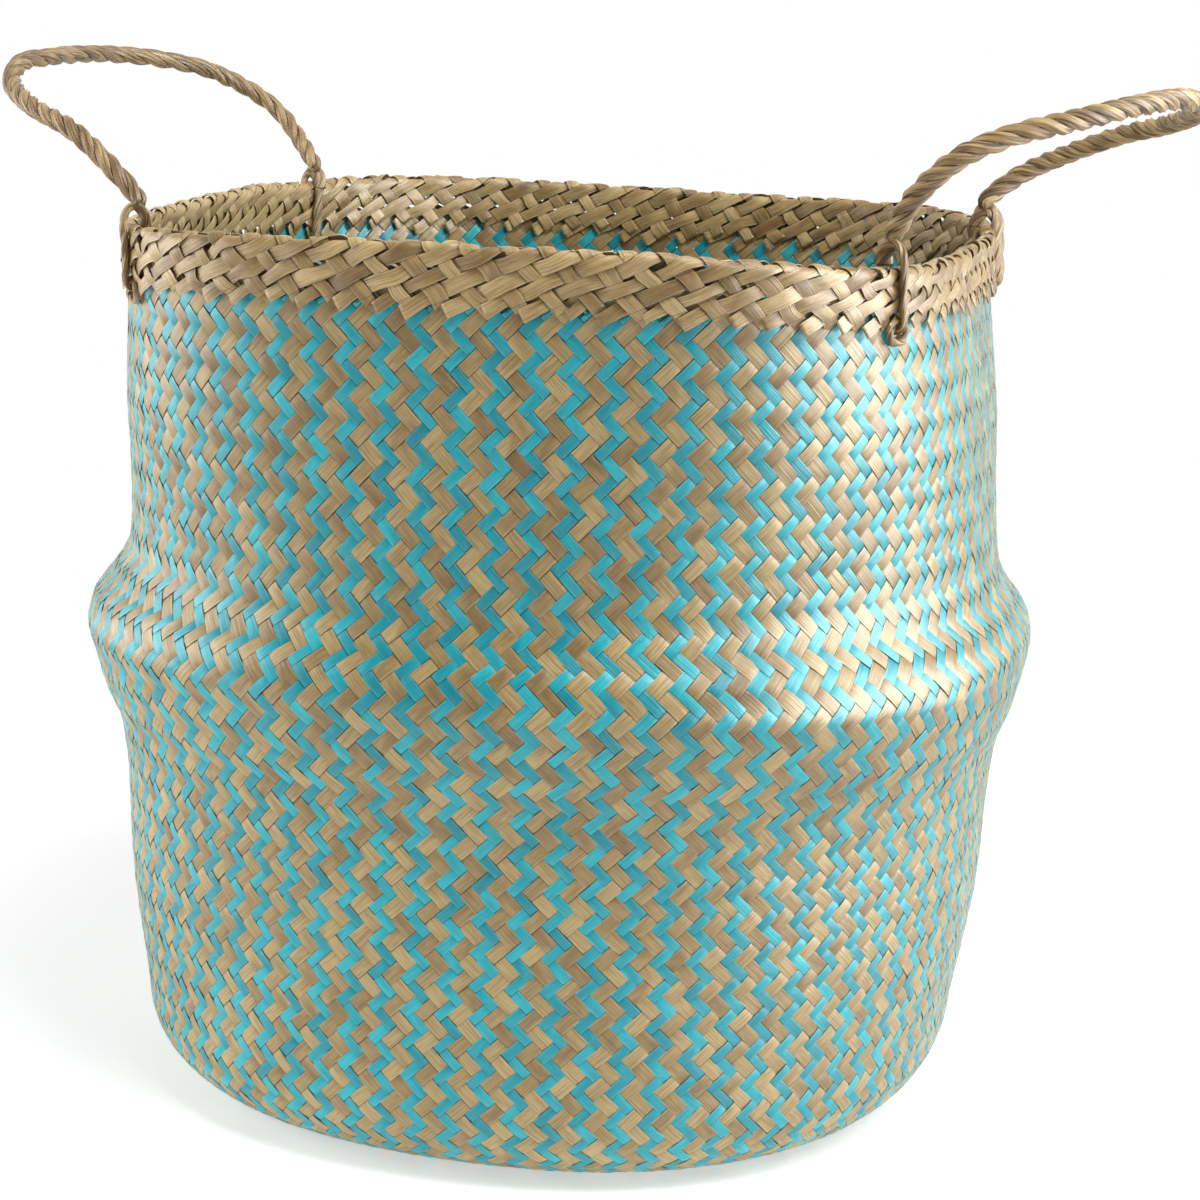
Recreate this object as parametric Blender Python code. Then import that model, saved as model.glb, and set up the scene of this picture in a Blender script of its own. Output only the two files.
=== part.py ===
"""Belly basket of plaited seagrass: a round belly that folds, a plaited border and two rope handles.

Units are metres and +Z is up. The origin is the centre of the base on the floor. The handles stand
over -X (left) and +X (right), and the front of the basket faces -Y.
"""

import math

import bmesh
import bpy
import numpy as np
from mathutils import Matrix, Vector

# Weave: the columns of zigzags that run round the basket, and how thick the plaited wall is
COLUMNS = 82
WEAVE_THICKNESS = 0.0024

# Lower half: flat base, rounded corner, and a wall that swells out by the flare to the crease
BELLY_HALF_LENGTH = 0.2000
BELLY_HALF_WIDTH = 0.1870
BELLY_SQUARENESS_share = 2.35
FOOT_FLARE_LENGTH = 0.0245
FOOT_FLARE_WIDTH = 0.0150
FOOT_SQUARENESS_share = 2.2
BASE_CORNER_RADIUS = 0.036
CREASE_HEIGHT = 0.197

# Fold: the band between the crease and the line where the upper wall begins, and how far it draws in
FOLD_HEIGHT = 0.033
FOLD_DEPTH_LENGTH = 0.0150
FOLD_DEPTH_WIDTH = 0.0105
SHOULDER_SQUARENESS_share = 2.2
FOLD_CLEARANCE = 0.0003

# Upper wall and rim
RIM_HALF_LENGTH = 0.1675
RIM_HALF_WIDTH = 0.1830
RIM_SQUARENESS_share = 3.2
RIM_HEIGHT = 0.369

# Border: natural strips folded over the rim, with a toothed lower edge inside and outside
BORDER_THICKNESS = 0.0016
BORDER_DROP = 0.0290
TOOTH_DEPTH = 0.0065
SEAT_CLEARANCE = 0.0003

# Lashings: the rope's own strands, laid over the rim and through the wall under the border
STRAND_RADIUS = 0.0022
STRAND_HOLE_CLEARANCE = 0.0005
LASHING_BULGE = 0.0012
LASHING_CORNER_RADIUS = 0.0024
LEFT_FRONT_COLUMN = 51
LEFT_REAR_COLUMN = 34
RIGHT_FRONT_COLUMN = 74
RIGHT_REAR_COLUMN = 6
KNOT_STRAND_RADIUS = 0.0011

# Handles: twisted rope, 9.6 mm across
ROPE_RADIUS = 0.0048
LEFT_REACH = 0.0784
LEFT_RISE = 0.0475
RIGHT_REACH = 0.0970
RIGHT_RISE = 0.0505

# One overrun serves every cut
CUT_OVERRUN = 0.004

# Counts of facets
RING_SAMPLES = 2880
CORNER_STEPS = 3
ROLL_STEPS = 4
BEND_STEPS = 4
HOLE_SIDES = 16
KNOT_STEPS = 12
ROPE_SPACING_share = 1.9

# Rows of the lower wall: height above the base corner, then how far the half length, the half
# width and the squareness have gone from those of the foot to those of the belly
LOWER_WALL_shares = (
    (0.00, 0.00, 0.00, 0.0),
    (0.37, 0.37, 0.02, 0.0),
    (0.60, 0.44, 0.06, 0.1),
    (0.74, 0.55, 0.22, 0.3),
    (0.84, 0.78, 0.58, 0.6),
    (0.93, 0.92, 0.82, 0.8),
    (1.00, 1.00, 1.00, 1.0),
)

# Rows of the fold, from the crease to the shoulder line
FOLD_shares = (
    (0.00, 0.00, 0.00, 0.0),
    (0.26, 0.08, 0.08, 0.3),
    (0.66, 0.66, 0.66, 0.7),
    (1.00, 1.00, 1.00, 1.0),
)

# Rows of the upper wall, from the shoulder line to the border's lower edge
UPPER_WALL_shares = (
    (0.00, 0.00, 0.00, 0.00),
    (0.30, 0.23, 0.06, 0.15),
    (0.55, 0.36, 0.22, 0.35),
    (1.00, 0.80, 0.62, 0.75),
)

# Routes of the handle ropes from the front end to the rear end: along the line between the ends as
# a share of half its length, out as a share of the reach, up as a share of the rise
LEFT_ROUTE_shares = (
    (-1.00, 0.00, 0.00),
    (-0.97, 0.31, 0.45),
    (-0.82, 0.64, 0.64),
    (-0.61, 0.88, 0.80),
    (-0.35, 0.99, 0.95),
    (-0.08, 0.99, 0.99),
    (0.20, 0.99, 1.00),
    (0.47, 0.95, 0.99),
    (0.72, 0.79, 0.94),
    (0.95, 0.57, 0.81),
    (1.08, 0.27, 0.48),
    (1.00, 0.00, 0.00),
)
RIGHT_ROUTE_shares = (
    (-1.00, 0.00, 0.00),
    (-1.05, 0.08, 0.27),
    (-1.06, 0.24, 0.56),
    (-1.02, 0.42, 0.73),
    (-0.91, 0.62, 0.84),
    (-0.72, 0.82, 0.95),
    (-0.40, 0.96, 1.00),
    (0.02, 1.00, 0.94),
    (0.42, 0.95, 0.84),
    (0.75, 0.80, 0.72),
    (0.94, 0.60, 0.61),
    (1.04, 0.35, 0.42),
    (1.06, 0.14, 0.22),
    (1.00, 0.00, 0.00),
)

# Surface colours, as linear red, green and blue
DYED_AND_NATURAL_COLOUR = (0.24, 0.42, 0.38, 1.0)
NATURAL_COLOUR = (0.42, 0.31, 0.18, 1.0)
ROPE_COLOUR = (0.33, 0.22, 0.12, 1.0)
SEAGRASS_ROUGHNESS = 0.6


def clear_scene():
    """Empty the scene, so that the model stands alone in it."""
    for old in list(bpy.data.objects):
        bpy.data.objects.remove(old, do_unlink=True)


def make_material(name, colour):
    """One Principled material for dried plant fibre."""
    material = bpy.data.materials.new(name)
    material.use_nodes = True
    shader = material.node_tree.nodes["Principled BSDF"]
    shader.inputs["Base Color"].default_value = colour
    shader.inputs["Roughness"].default_value = SEAGRASS_ROUGHNESS
    shader.inputs["Metallic"].default_value = 0.0
    return material


# Sections of the basket

def blend_rows(shares, low, high):
    """Rows (height, half length, half width, squareness) between two sections, by a table of shares."""
    rows = []
    for up, length, width, square in shares:
        steps = (up, length, width, square)
        rows.append(tuple(a + (b - a) * s for a, b, s in zip(low, high, steps)))
    return rows


SHOULDER_HEIGHT = CREASE_HEIGHT + FOLD_HEIGHT
FOOT = (BASE_CORNER_RADIUS, BELLY_HALF_LENGTH - FOOT_FLARE_LENGTH, BELLY_HALF_WIDTH - FOOT_FLARE_WIDTH,
        FOOT_SQUARENESS_share)
CREASE = (CREASE_HEIGHT, BELLY_HALF_LENGTH, BELLY_HALF_WIDTH, BELLY_SQUARENESS_share)
SHOULDER = (SHOULDER_HEIGHT, BELLY_HALF_LENGTH - FOLD_DEPTH_LENGTH, BELLY_HALF_WIDTH - FOLD_DEPTH_WIDTH,
            SHOULDER_SQUARENESS_share)
RIM = (RIM_HEIGHT, RIM_HALF_LENGTH, RIM_HALF_WIDTH, RIM_SQUARENESS_share)
BORDER_FOOT_HEIGHT = RIM_HEIGHT - BORDER_DROP

LOWER_ROWS = blend_rows(LOWER_WALL_shares, FOOT, CREASE)
FOLD_ROWS = blend_rows(FOLD_shares, CREASE, SHOULDER)
UPPER_ROWS = blend_rows(UPPER_WALL_shares, SHOULDER, (BORDER_FOOT_HEIGHT,) + RIM[1:]) + [RIM]


def section_at(rows, height):
    """Half length, half width and squareness of the outer face at a height, between its rows."""
    heights = [row[0] for row in rows]
    return tuple(float(np.interp(height, heights, [row[i] for row in rows])) for i in (1, 2, 3))


def ring(section, height, inset=0.0):
    """One point for each column, evenly spaced round a squared oval and moved in by inset."""
    half_length, half_width, squareness = section
    angles = np.linspace(0.0, 2.0 * math.pi, RING_SAMPLES + 1)
    reach_x = np.abs(np.cos(angles) / half_length) ** squareness
    reach_y = np.abs(np.sin(angles) / half_width) ** squareness
    radii = (reach_x + reach_y) ** (-1.0 / squareness)
    xs = radii * np.cos(angles)
    ys = radii * np.sin(angles)
    walked = np.concatenate([[0.0], np.cumsum(np.hypot(np.diff(xs), np.diff(ys)))])
    stops = (np.arange(COLUMNS) + 0.5) / COLUMNS * walked[-1]
    xs = np.interp(stops, walked, xs)
    ys = np.interp(stops, walked, ys)
    run_x = np.roll(xs, -1) - np.roll(xs, 1)
    run_y = np.roll(ys, -1) - np.roll(ys, 1)
    run = np.hypot(run_x, run_y)
    return [Vector((x, y, height)) for x, y in zip(xs - inset * run_y / run, ys + inset * run_x / run)]


def upper_ring(height, inset=0.0):
    """Ring of the upper wall's outer face at a height, drawn in by inset."""
    return ring(section_at(UPPER_ROWS, height), height, inset)


def with_midpoints(low_ring, mid_ring=None):
    """Ring with a point added halfway along each facet, taken from mid_ring where one is given."""
    source = mid_ring or low_ring
    points = []
    for i, point in enumerate(low_ring):
        points.append(point)
        points.append((source[i] + source[(i + 1) % len(source)]) / 2.0)
    return points


# Solids

def link_mesh(name, mesh_data, material):
    """Turn a bmesh into a named object with one material."""
    bmesh.ops.recalc_face_normals(mesh_data, faces=mesh_data.faces)
    mesh = bpy.data.meshes.new(name)
    mesh_data.to_mesh(mesh)
    mesh_data.free()
    mesh.materials.append(material)
    thing = bpy.data.objects.new(name, mesh)
    bpy.context.scene.collection.objects.link(thing)
    return thing


def loft(name, rings, material, closed):
    """Skin a list of rings. A closed loft joins its last ring to its first, an open one gets two caps."""
    solid = bmesh.new()
    loops = [[solid.verts.new(point) for point in points] for points in rings]
    pairs = list(zip(loops, loops[1:]))
    if closed:
        pairs.append((loops[-1], loops[0]))
    for low, high in pairs:
        for i in range(len(low)):
            solid.faces.new((low[i - 1], low[i], high[i], high[i - 1]))
    if not closed:
        solid.faces.new(reversed(loops[0]))
        solid.faces.new(loops[-1])
    return link_mesh(name, solid, material)


def corner_rows(drawn_in, floor):
    """Rings round the base corner, from the flat of the base up to the foot of the wall."""
    radius = BASE_CORNER_RADIUS - drawn_in
    rings = []
    for step in range(CORNER_STEPS):
        angle = 0.5 * math.pi * step / CORNER_STEPS
        height = floor + radius * (1.0 - math.cos(angle))
        inset = drawn_in + radius * (1.0 - math.sin(angle))
        rings.append(ring(FOOT[1:], height, inset))
    return rings


def make_lower_body(material):
    """Base and lower wall in one: a bowl with a rounded corner, open at the crease."""
    outside = corner_rows(0.0, 0.0) + [ring(row[1:], row[0]) for row in LOWER_ROWS]
    inside = [ring(row[1:], row[0], WEAVE_THICKNESS) for row in reversed(LOWER_ROWS)]
    inside += reversed(corner_rows(WEAVE_THICKNESS, WEAVE_THICKNESS))
    return loft("lower_body", outside + inside, material, closed=False)


def make_band(name, rows, low, high, material):
    """Open band of the plaited wall from one height to another."""
    heights = [low] + [row[0] for row in rows if low < row[0] < high] + [high]
    outside = [ring(section_at(rows, height), height) for height in heights]
    inside = [ring(section_at(rows, height), height, WEAVE_THICKNESS) for height in reversed(heights)]
    return loft(name, outside + inside, material, closed=True)


def border_ring(height, offset):
    """Ring of the border at a distance outside the middle of the wall, with a point on each facet."""
    return with_midpoints(upper_ring(height, 0.5 * WEAVE_THICKNESS - offset))


def toothed_ring(offset):
    """Lower edge of the border: a tooth on each column, with a notch between it and the next."""
    tips = upper_ring(BORDER_FOOT_HEIGHT, 0.5 * WEAVE_THICKNESS - offset)
    notches = upper_ring(BORDER_FOOT_HEIGHT + TOOTH_DEPTH, 0.5 * WEAVE_THICKNESS - offset)
    return with_midpoints(tips, notches)


CAVITY_HALF_WIDTH = 0.5 * WEAVE_THICKNESS + SEAT_CLEARANCE
BORDER_HALF_WIDTH = CAVITY_HALF_WIDTH + BORDER_THICKNESS
BORDER_ROLL_HEIGHT = RIM_HEIGHT - BORDER_HALF_WIDTH
WALL_TOP_HEIGHT = RIM_HEIGHT - BORDER_THICKNESS - SEAT_CLEARANCE


def make_border(material):
    """Border folded over the rim, with a rounded top and a slot that the wall stands in."""
    rings = [toothed_ring(BORDER_HALF_WIDTH)]
    for step in range(ROLL_STEPS + 1):
        angle = math.pi * step / ROLL_STEPS
        height = BORDER_ROLL_HEIGHT + BORDER_HALF_WIDTH * math.sin(angle)
        rings.append(border_ring(height, BORDER_HALF_WIDTH * math.cos(angle)))
    rings.append(toothed_ring(-BORDER_HALF_WIDTH))
    rings.append(toothed_ring(-CAVITY_HALF_WIDTH))
    rings.append(border_ring(RIM_HEIGHT - BORDER_THICKNESS, -CAVITY_HALF_WIDTH))
    rings.append(border_ring(RIM_HEIGHT - BORDER_THICKNESS, CAVITY_HALF_WIDTH))
    rings.append(toothed_ring(CAVITY_HALF_WIDTH))
    return loft("rim_border", rings, material, closed=True)


# Where the handles meet the rim

def wall_frame(column, height):
    """Middle of the wall at a column and height, the way out of the wall there, and half a facet."""
    points = upper_ring(height, 0.5 * WEAVE_THICKNESS)
    before, after = points[column - 1], points[column % COLUMNS]
    along = (after - before).normalized()
    outward = Vector((along.y, -along.x, 0.0))
    return (before + after) / 2.0, outward, (after - before).length / 2.0


KNOT_RING_RADIUS = STRAND_RADIUS + SEAT_CLEARANCE + KNOT_STRAND_RADIUS
KNOT_OUTER_RADIUS = KNOT_RING_RADIUS + KNOT_STRAND_RADIUS
LASHING_OFFSET = BORDER_HALF_WIDTH + SEAT_CLEARANCE + STRAND_RADIUS
LASHING_COLUMNS = {
    "left_front": LEFT_FRONT_COLUMN,
    "left_rear": LEFT_REAR_COLUMN,
    "right_front": RIGHT_FRONT_COLUMN,
    "right_rear": RIGHT_REAR_COLUMN,
}


def hole_height():
    """Height of the strand holes: the knot round each hole just clears the notch above it."""
    notch = BORDER_FOOT_HEIGHT + TOOTH_DEPTH
    half_facet = wall_frame(RIGHT_REAR_COLUMN, notch)[2]
    slope = math.hypot(half_facet, TOOTH_DEPTH) / half_facet
    return notch - (KNOT_OUTER_RADIUS + SEAT_CLEARANCE) * slope


HOLE_HEIGHT = hole_height()


def lashing_points(column):
    """Route of one lashing: over the rim, down outside, in through the wall and up inside."""
    flat = [(LASHING_OFFSET * math.cos(math.pi * i / (2 * BEND_STEPS)),
             BORDER_ROLL_HEIGHT + LASHING_OFFSET * math.sin(math.pi * i / (2 * BEND_STEPS)))
            for i in range(2 * BEND_STEPS, -1, -1)]
    bulge = LASHING_OFFSET + LASHING_BULGE
    bulge_top = HOLE_HEIGHT + KNOT_OUTER_RADIUS + SEAT_CLEARANCE
    flat.append((LASHING_OFFSET, bulge_top + KNOT_OUTER_RADIUS))
    flat.append((bulge, bulge_top))
    corner = LASHING_CORNER_RADIUS
    for side, reach in ((1.0, bulge), (-1.0, LASHING_OFFSET)):
        turns = [0.5 * math.pi * i / BEND_STEPS for i in range(BEND_STEPS + 1)]
        bend = [(side * (reach - corner * (1.0 - math.cos(t))), HOLE_HEIGHT + corner * (1.0 - math.sin(t)))
                for t in turns]
        flat += bend if side > 0.0 else reversed(bend)
    points = []
    for offset, height in flat:
        middle, outward, _ = wall_frame(column, min(height, RIM_HEIGHT))
        points.append(Vector((middle.x, middle.y, height)) + outward * offset)
    return points


def tube(name, points, radius, material, closed, sides=2, radii=None, place=Vector()):
    """Round bar along points. radii tapers it as shares of the radius, and place is its origin."""
    curve = bpy.data.curves.new(name, "CURVE")
    curve.dimensions = "3D"
    curve.bevel_depth = radius
    curve.bevel_resolution = sides
    curve.use_fill_caps = True
    spline = curve.splines.new("POLY")
    spline.points.add(len(points) - 1)
    for i, point in enumerate(points):
        spline.points[i].co = (*(point - place), 1.0)
        spline.points[i].radius = radii[i] if radii else 1.0
    spline.use_cyclic_u = closed
    spline.use_smooth = True
    curve.materials.append(material)
    thing = bpy.data.objects.new(name, curve)
    thing.location = place
    bpy.context.scene.collection.objects.link(thing)
    return thing


def make_lashing(name, column, material):
    """Closed loop of the rope's strand that ties a handle's end to the rim."""
    return tube(f"{name}_lashing", lashing_points(column), STRAND_RADIUS, material, closed=True)


def make_knot(name, column, material):
    """Eye of thinner strand, drawn tight round the lashing where it enters the sloping wall."""
    middle, outward, _ = wall_frame(column, HOLE_HEIGHT)
    sideways = Vector((-outward.y, outward.x, 0.0))
    above = wall_frame(column, HOLE_HEIGHT + KNOT_OUTER_RADIUS)[0]
    below = wall_frame(column, HOLE_HEIGHT - KNOT_OUTER_RADIUS)[0]
    up_wall = (above - below).normalized()
    off_wall = sideways.cross(up_wall)
    stand_off = 0.5 * WEAVE_THICKNESS + SEAT_CLEARANCE + KNOT_STRAND_RADIUS
    points = []
    for i in range(KNOT_STEPS):
        angle = 2.0 * math.pi * i / KNOT_STEPS
        round_hole = sideways * math.cos(angle) + up_wall * math.sin(angle) / up_wall.z
        points.append(middle + off_wall * stand_off + round_hole * KNOT_RING_RADIUS)
    return tube(f"{name}_knot", points, KNOT_STRAND_RADIUS, material, closed=True, sides=1)


def drill_strand_holes(wall):
    """Cut one round hole through the wall for each lashing."""
    for name, column in LASHING_COLUMNS.items():
        middle, outward, _ = wall_frame(column, HOLE_HEIGHT)
        drill = bmesh.new()
        turn = outward.to_track_quat("Z", "Y").to_matrix().to_4x4()
        radius = STRAND_RADIUS + STRAND_HOLE_CLEARANCE
        bmesh.ops.create_cone(drill, cap_ends=True, segments=HOLE_SIDES, radius1=radius, radius2=radius,
                              depth=2.0 * CUT_OVERRUN, matrix=Matrix.Translation(middle) @ turn)
        cutter = link_mesh(f"{name}_drill", drill, wall.data.materials[0])
        cutter.hide_render = True
        cutter.display_type = "WIRE"
        cut = wall.modifiers.new(f"{name}_hole", "BOOLEAN")
        cut.operation = "DIFFERENCE"
        cut.solver = "EXACT"
        cut.object = cutter


def smooth_route(stops, spacing):
    """Even points along a Catmull-Rom curve through the stops."""
    padded = [2.0 * stops[0] - stops[1]] + stops + [2.0 * stops[-1] - stops[-2]]
    dense = []
    for a, b, c, d in zip(padded, padded[1:], padded[2:], padded[3:]):
        for i in range(BEND_STEPS * BEND_STEPS):
            t = i / (BEND_STEPS * BEND_STEPS)
            dense.append(0.5 * (2.0 * b + (c - a) * t + (2.0 * a - 5.0 * b + 4.0 * c - d) * t * t
                                + (3.0 * b - a - 3.0 * c + d) * t ** 3))
    dense.append(stops[-1])
    steps = [(q - p).length for p, q in zip(dense, dense[1:])]
    walked = np.concatenate([[0.0], np.cumsum(steps)])
    count = max(2, round(walked[-1] / spacing))
    stops_at = np.linspace(0.0, walked[-1], count + 1)
    columns = [np.interp(stops_at, walked, [point[i] for point in dense]) for i in range(3)]
    return [Vector(values) for values in zip(*columns)]


def round_ends(points, radius):
    """Add a domed end of the rope at each end of its route, centred on the route's end point."""
    shares = [math.cos(0.5 * math.pi * (i + 0.5) / BEND_STEPS) for i in reversed(range(BEND_STEPS))]
    start = (points[0] - points[1]).normalized()
    finish = (points[-1] - points[-2]).normalized()
    before = [points[0] + start * radius * math.sqrt(1.0 - s * s) for s in shares]
    after = [points[-1] + finish * radius * math.sqrt(1.0 - s * s) for s in reversed(shares)]
    radii = shares + [1.0] * len(points) + list(reversed(shares))
    return before + points + after, radii


AXIS_HEIGHT = BORDER_ROLL_HEIGHT + LASHING_OFFSET + STRAND_RADIUS + SEAT_CLEARANCE + ROPE_RADIUS


def make_handle(name, columns, reach, rise, route, material):
    """Rope loop between two columns, its origin on the line through its ends, which it swings about."""
    front, rear = (wall_frame(column, RIM_HEIGHT)[0] for column in columns)
    along = (rear - front) / 2.0
    centre = (rear + front) / 2.0
    outward = Vector((along.y, -along.x, 0.0)).normalized()
    if outward.dot(centre) < 0.0:
        outward.negate()
    origin = Vector((centre.x, centre.y, AXIS_HEIGHT))
    upward = Vector((0.0, 0.0, rise))
    stops = [origin + along * share + outward * out * reach + upward * up for share, out, up in route]
    points = smooth_route(stops, ROPE_SPACING_share * ROPE_RADIUS)
    points, radii = round_ends(points, ROPE_RADIUS)
    return tube(name, points, ROPE_RADIUS, material, closed=False, radii=radii, place=origin)


def main():
    """Build the whole basket."""
    clear_scene()
    weave = make_material("plaited_seagrass", DYED_AND_NATURAL_COLOUR)
    natural = make_material("natural_seagrass", NATURAL_COLOUR)
    rope = make_material("seagrass_rope", ROPE_COLOUR)

    make_lower_body(weave)
    fold_low = CREASE_HEIGHT + FOLD_CLEARANCE
    fold_high = SHOULDER_HEIGHT - FOLD_CLEARANCE
    make_band("shoulder_fold", FOLD_ROWS, fold_low, fold_high, weave)
    wall = make_band("upper_wall", UPPER_ROWS, SHOULDER_HEIGHT, WALL_TOP_HEIGHT, weave)
    drill_strand_holes(wall)
    make_border(natural)
    for name, column in LASHING_COLUMNS.items():
        make_lashing(name, column, rope)
        make_knot(name, column, rope)
    left_columns = (LEFT_FRONT_COLUMN, LEFT_REAR_COLUMN)
    right_columns = (RIGHT_FRONT_COLUMN, RIGHT_REAR_COLUMN)
    make_handle("left_handle", left_columns, LEFT_REACH, LEFT_RISE, LEFT_ROUTE_shares, rope)
    make_handle("right_handle", right_columns, RIGHT_REACH, RIGHT_RISE, RIGHT_ROUTE_shares, rope)


main()
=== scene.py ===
"""Looks of the belly basket: every leaf strip of the plait, the folded border and the rope handles."""

import logging
import math
from dataclasses import dataclass, field, replace
from enum import Enum
from typing import Callable

import bmesh
import bpy
import numpy as np
from mathutils import Matrix, Vector


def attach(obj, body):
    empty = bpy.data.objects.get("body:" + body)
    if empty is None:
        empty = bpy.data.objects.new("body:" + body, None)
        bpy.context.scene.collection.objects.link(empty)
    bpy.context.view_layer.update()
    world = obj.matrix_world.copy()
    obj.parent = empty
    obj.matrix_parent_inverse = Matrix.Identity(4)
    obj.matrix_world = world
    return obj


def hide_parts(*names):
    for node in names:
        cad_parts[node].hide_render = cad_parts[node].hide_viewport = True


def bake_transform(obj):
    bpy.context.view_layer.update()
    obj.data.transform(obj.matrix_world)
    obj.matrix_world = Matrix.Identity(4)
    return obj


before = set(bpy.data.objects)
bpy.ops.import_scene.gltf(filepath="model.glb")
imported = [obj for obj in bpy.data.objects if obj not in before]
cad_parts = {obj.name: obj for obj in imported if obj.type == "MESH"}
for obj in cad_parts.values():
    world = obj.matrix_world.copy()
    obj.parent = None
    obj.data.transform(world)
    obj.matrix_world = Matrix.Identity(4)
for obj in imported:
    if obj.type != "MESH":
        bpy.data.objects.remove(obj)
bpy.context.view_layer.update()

LOG = logging.getLogger("belly_basket")
Array = np.ndarray
GRAIN_LENGTH = 3.0


class Lay(Enum):
    """Which way a strip climbs, seen from outside the basket."""

    RISING = 1
    FALLING = -1


class Leaf(Enum):
    """Which leaf a strip is split from."""

    DYED = "dyed"
    NATURAL = "natural"


# Sizes shared with the solids, and the smooth skin that the strips lie on


def monotone_curve(stops: Array, values: Array, at: Array) -> Array:
    """Smooth curve through points that never overshoots them.

    Args:
        stops: Rising places of the points.
        values: Values at the points.
        at: Places to read.

    Returns:
        The values read at those places.
    """
    gaps = np.diff(stops)
    slopes = np.diff(values) / gaps
    inner = np.where(slopes[:-1] * slopes[1:] > 0.0,
                     2.0 * slopes[:-1] * slopes[1:] / (slopes[:-1] + slopes[1:] + 1e-12), 0.0)
    lean = np.concatenate([[slopes[0]], inner, [slopes[-1]]])
    i = np.clip(np.searchsorted(stops, at) - 1, 0, len(gaps) - 1)
    t = (at - stops[i]) / gaps[i]
    return (values[i] * (1.0 + 2.0 * t) * (1.0 - t) ** 2 + values[i + 1] * t * t * (3.0 - 2.0 * t)
            + gaps[i] * (lean[i] * t * (1.0 - t) ** 2 - lean[i + 1] * t * t * (1.0 - t)))


@dataclass(frozen=True)
class BasketSizes:
    """Sizes of the basket that the solids have too, in metres."""

    columns: int = 82
    weave_thickness: float = 0.0024
    corner_radius: float = 0.036
    foot: tuple = (0.036, 0.1755, 0.1720, 2.2)
    crease: tuple = (0.197, 0.2000, 0.1870, 2.35)
    shoulder: tuple = (0.230, 0.1850, 0.1765, 2.2)
    rim: tuple = (0.369, 0.1675, 0.1830, 3.2)
    border_foot: float = 0.340
    roll_height: float = 0.3659
    strand_radius: float = 0.0022
    axis_height: float = 0.3788
    lashing_bulge: float = 0.0012
    lashing_corner: float = 0.0024
    hole_height: float = 0.33975
    knot_strand_radius: float = 0.0011
    knot_ring_radius: float = 0.0036
    lower_shares: tuple = ((0, 0, 0, 0), (.37, .37, .02, 0), (.60, .44, .06, .1), (.74, .55, .22, .3),
                           (.84, .78, .58, .6), (.93, .92, .82, .8), (1, 1, 1, 1))
    fold_shares: tuple = ((.26, .08, .08, .3), (.66, .66, .66, .7), (1, 1, 1, 1))
    upper_shares: tuple = ((.30, .23, .06, .15), (.55, .36, .22, .35), (1, .80, .62, .75))

    def wall_rows(self) -> Array:
        """Rows of the wall: height, half length, half width and squareness."""
        rows = []
        top = (self.border_foot,) + self.rim[1:]
        for shares, low, high in ((self.lower_shares, self.foot, self.crease),
                                  (self.fold_shares, self.crease, self.shoulder),
                                  (self.upper_shares, self.shoulder, top)):
            for share in shares:
                rows.append([a + (b - a) * s for a, b, s in zip(low, high, share)])
        rows.append(list(self.rim))
        return np.array(rows)


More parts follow.
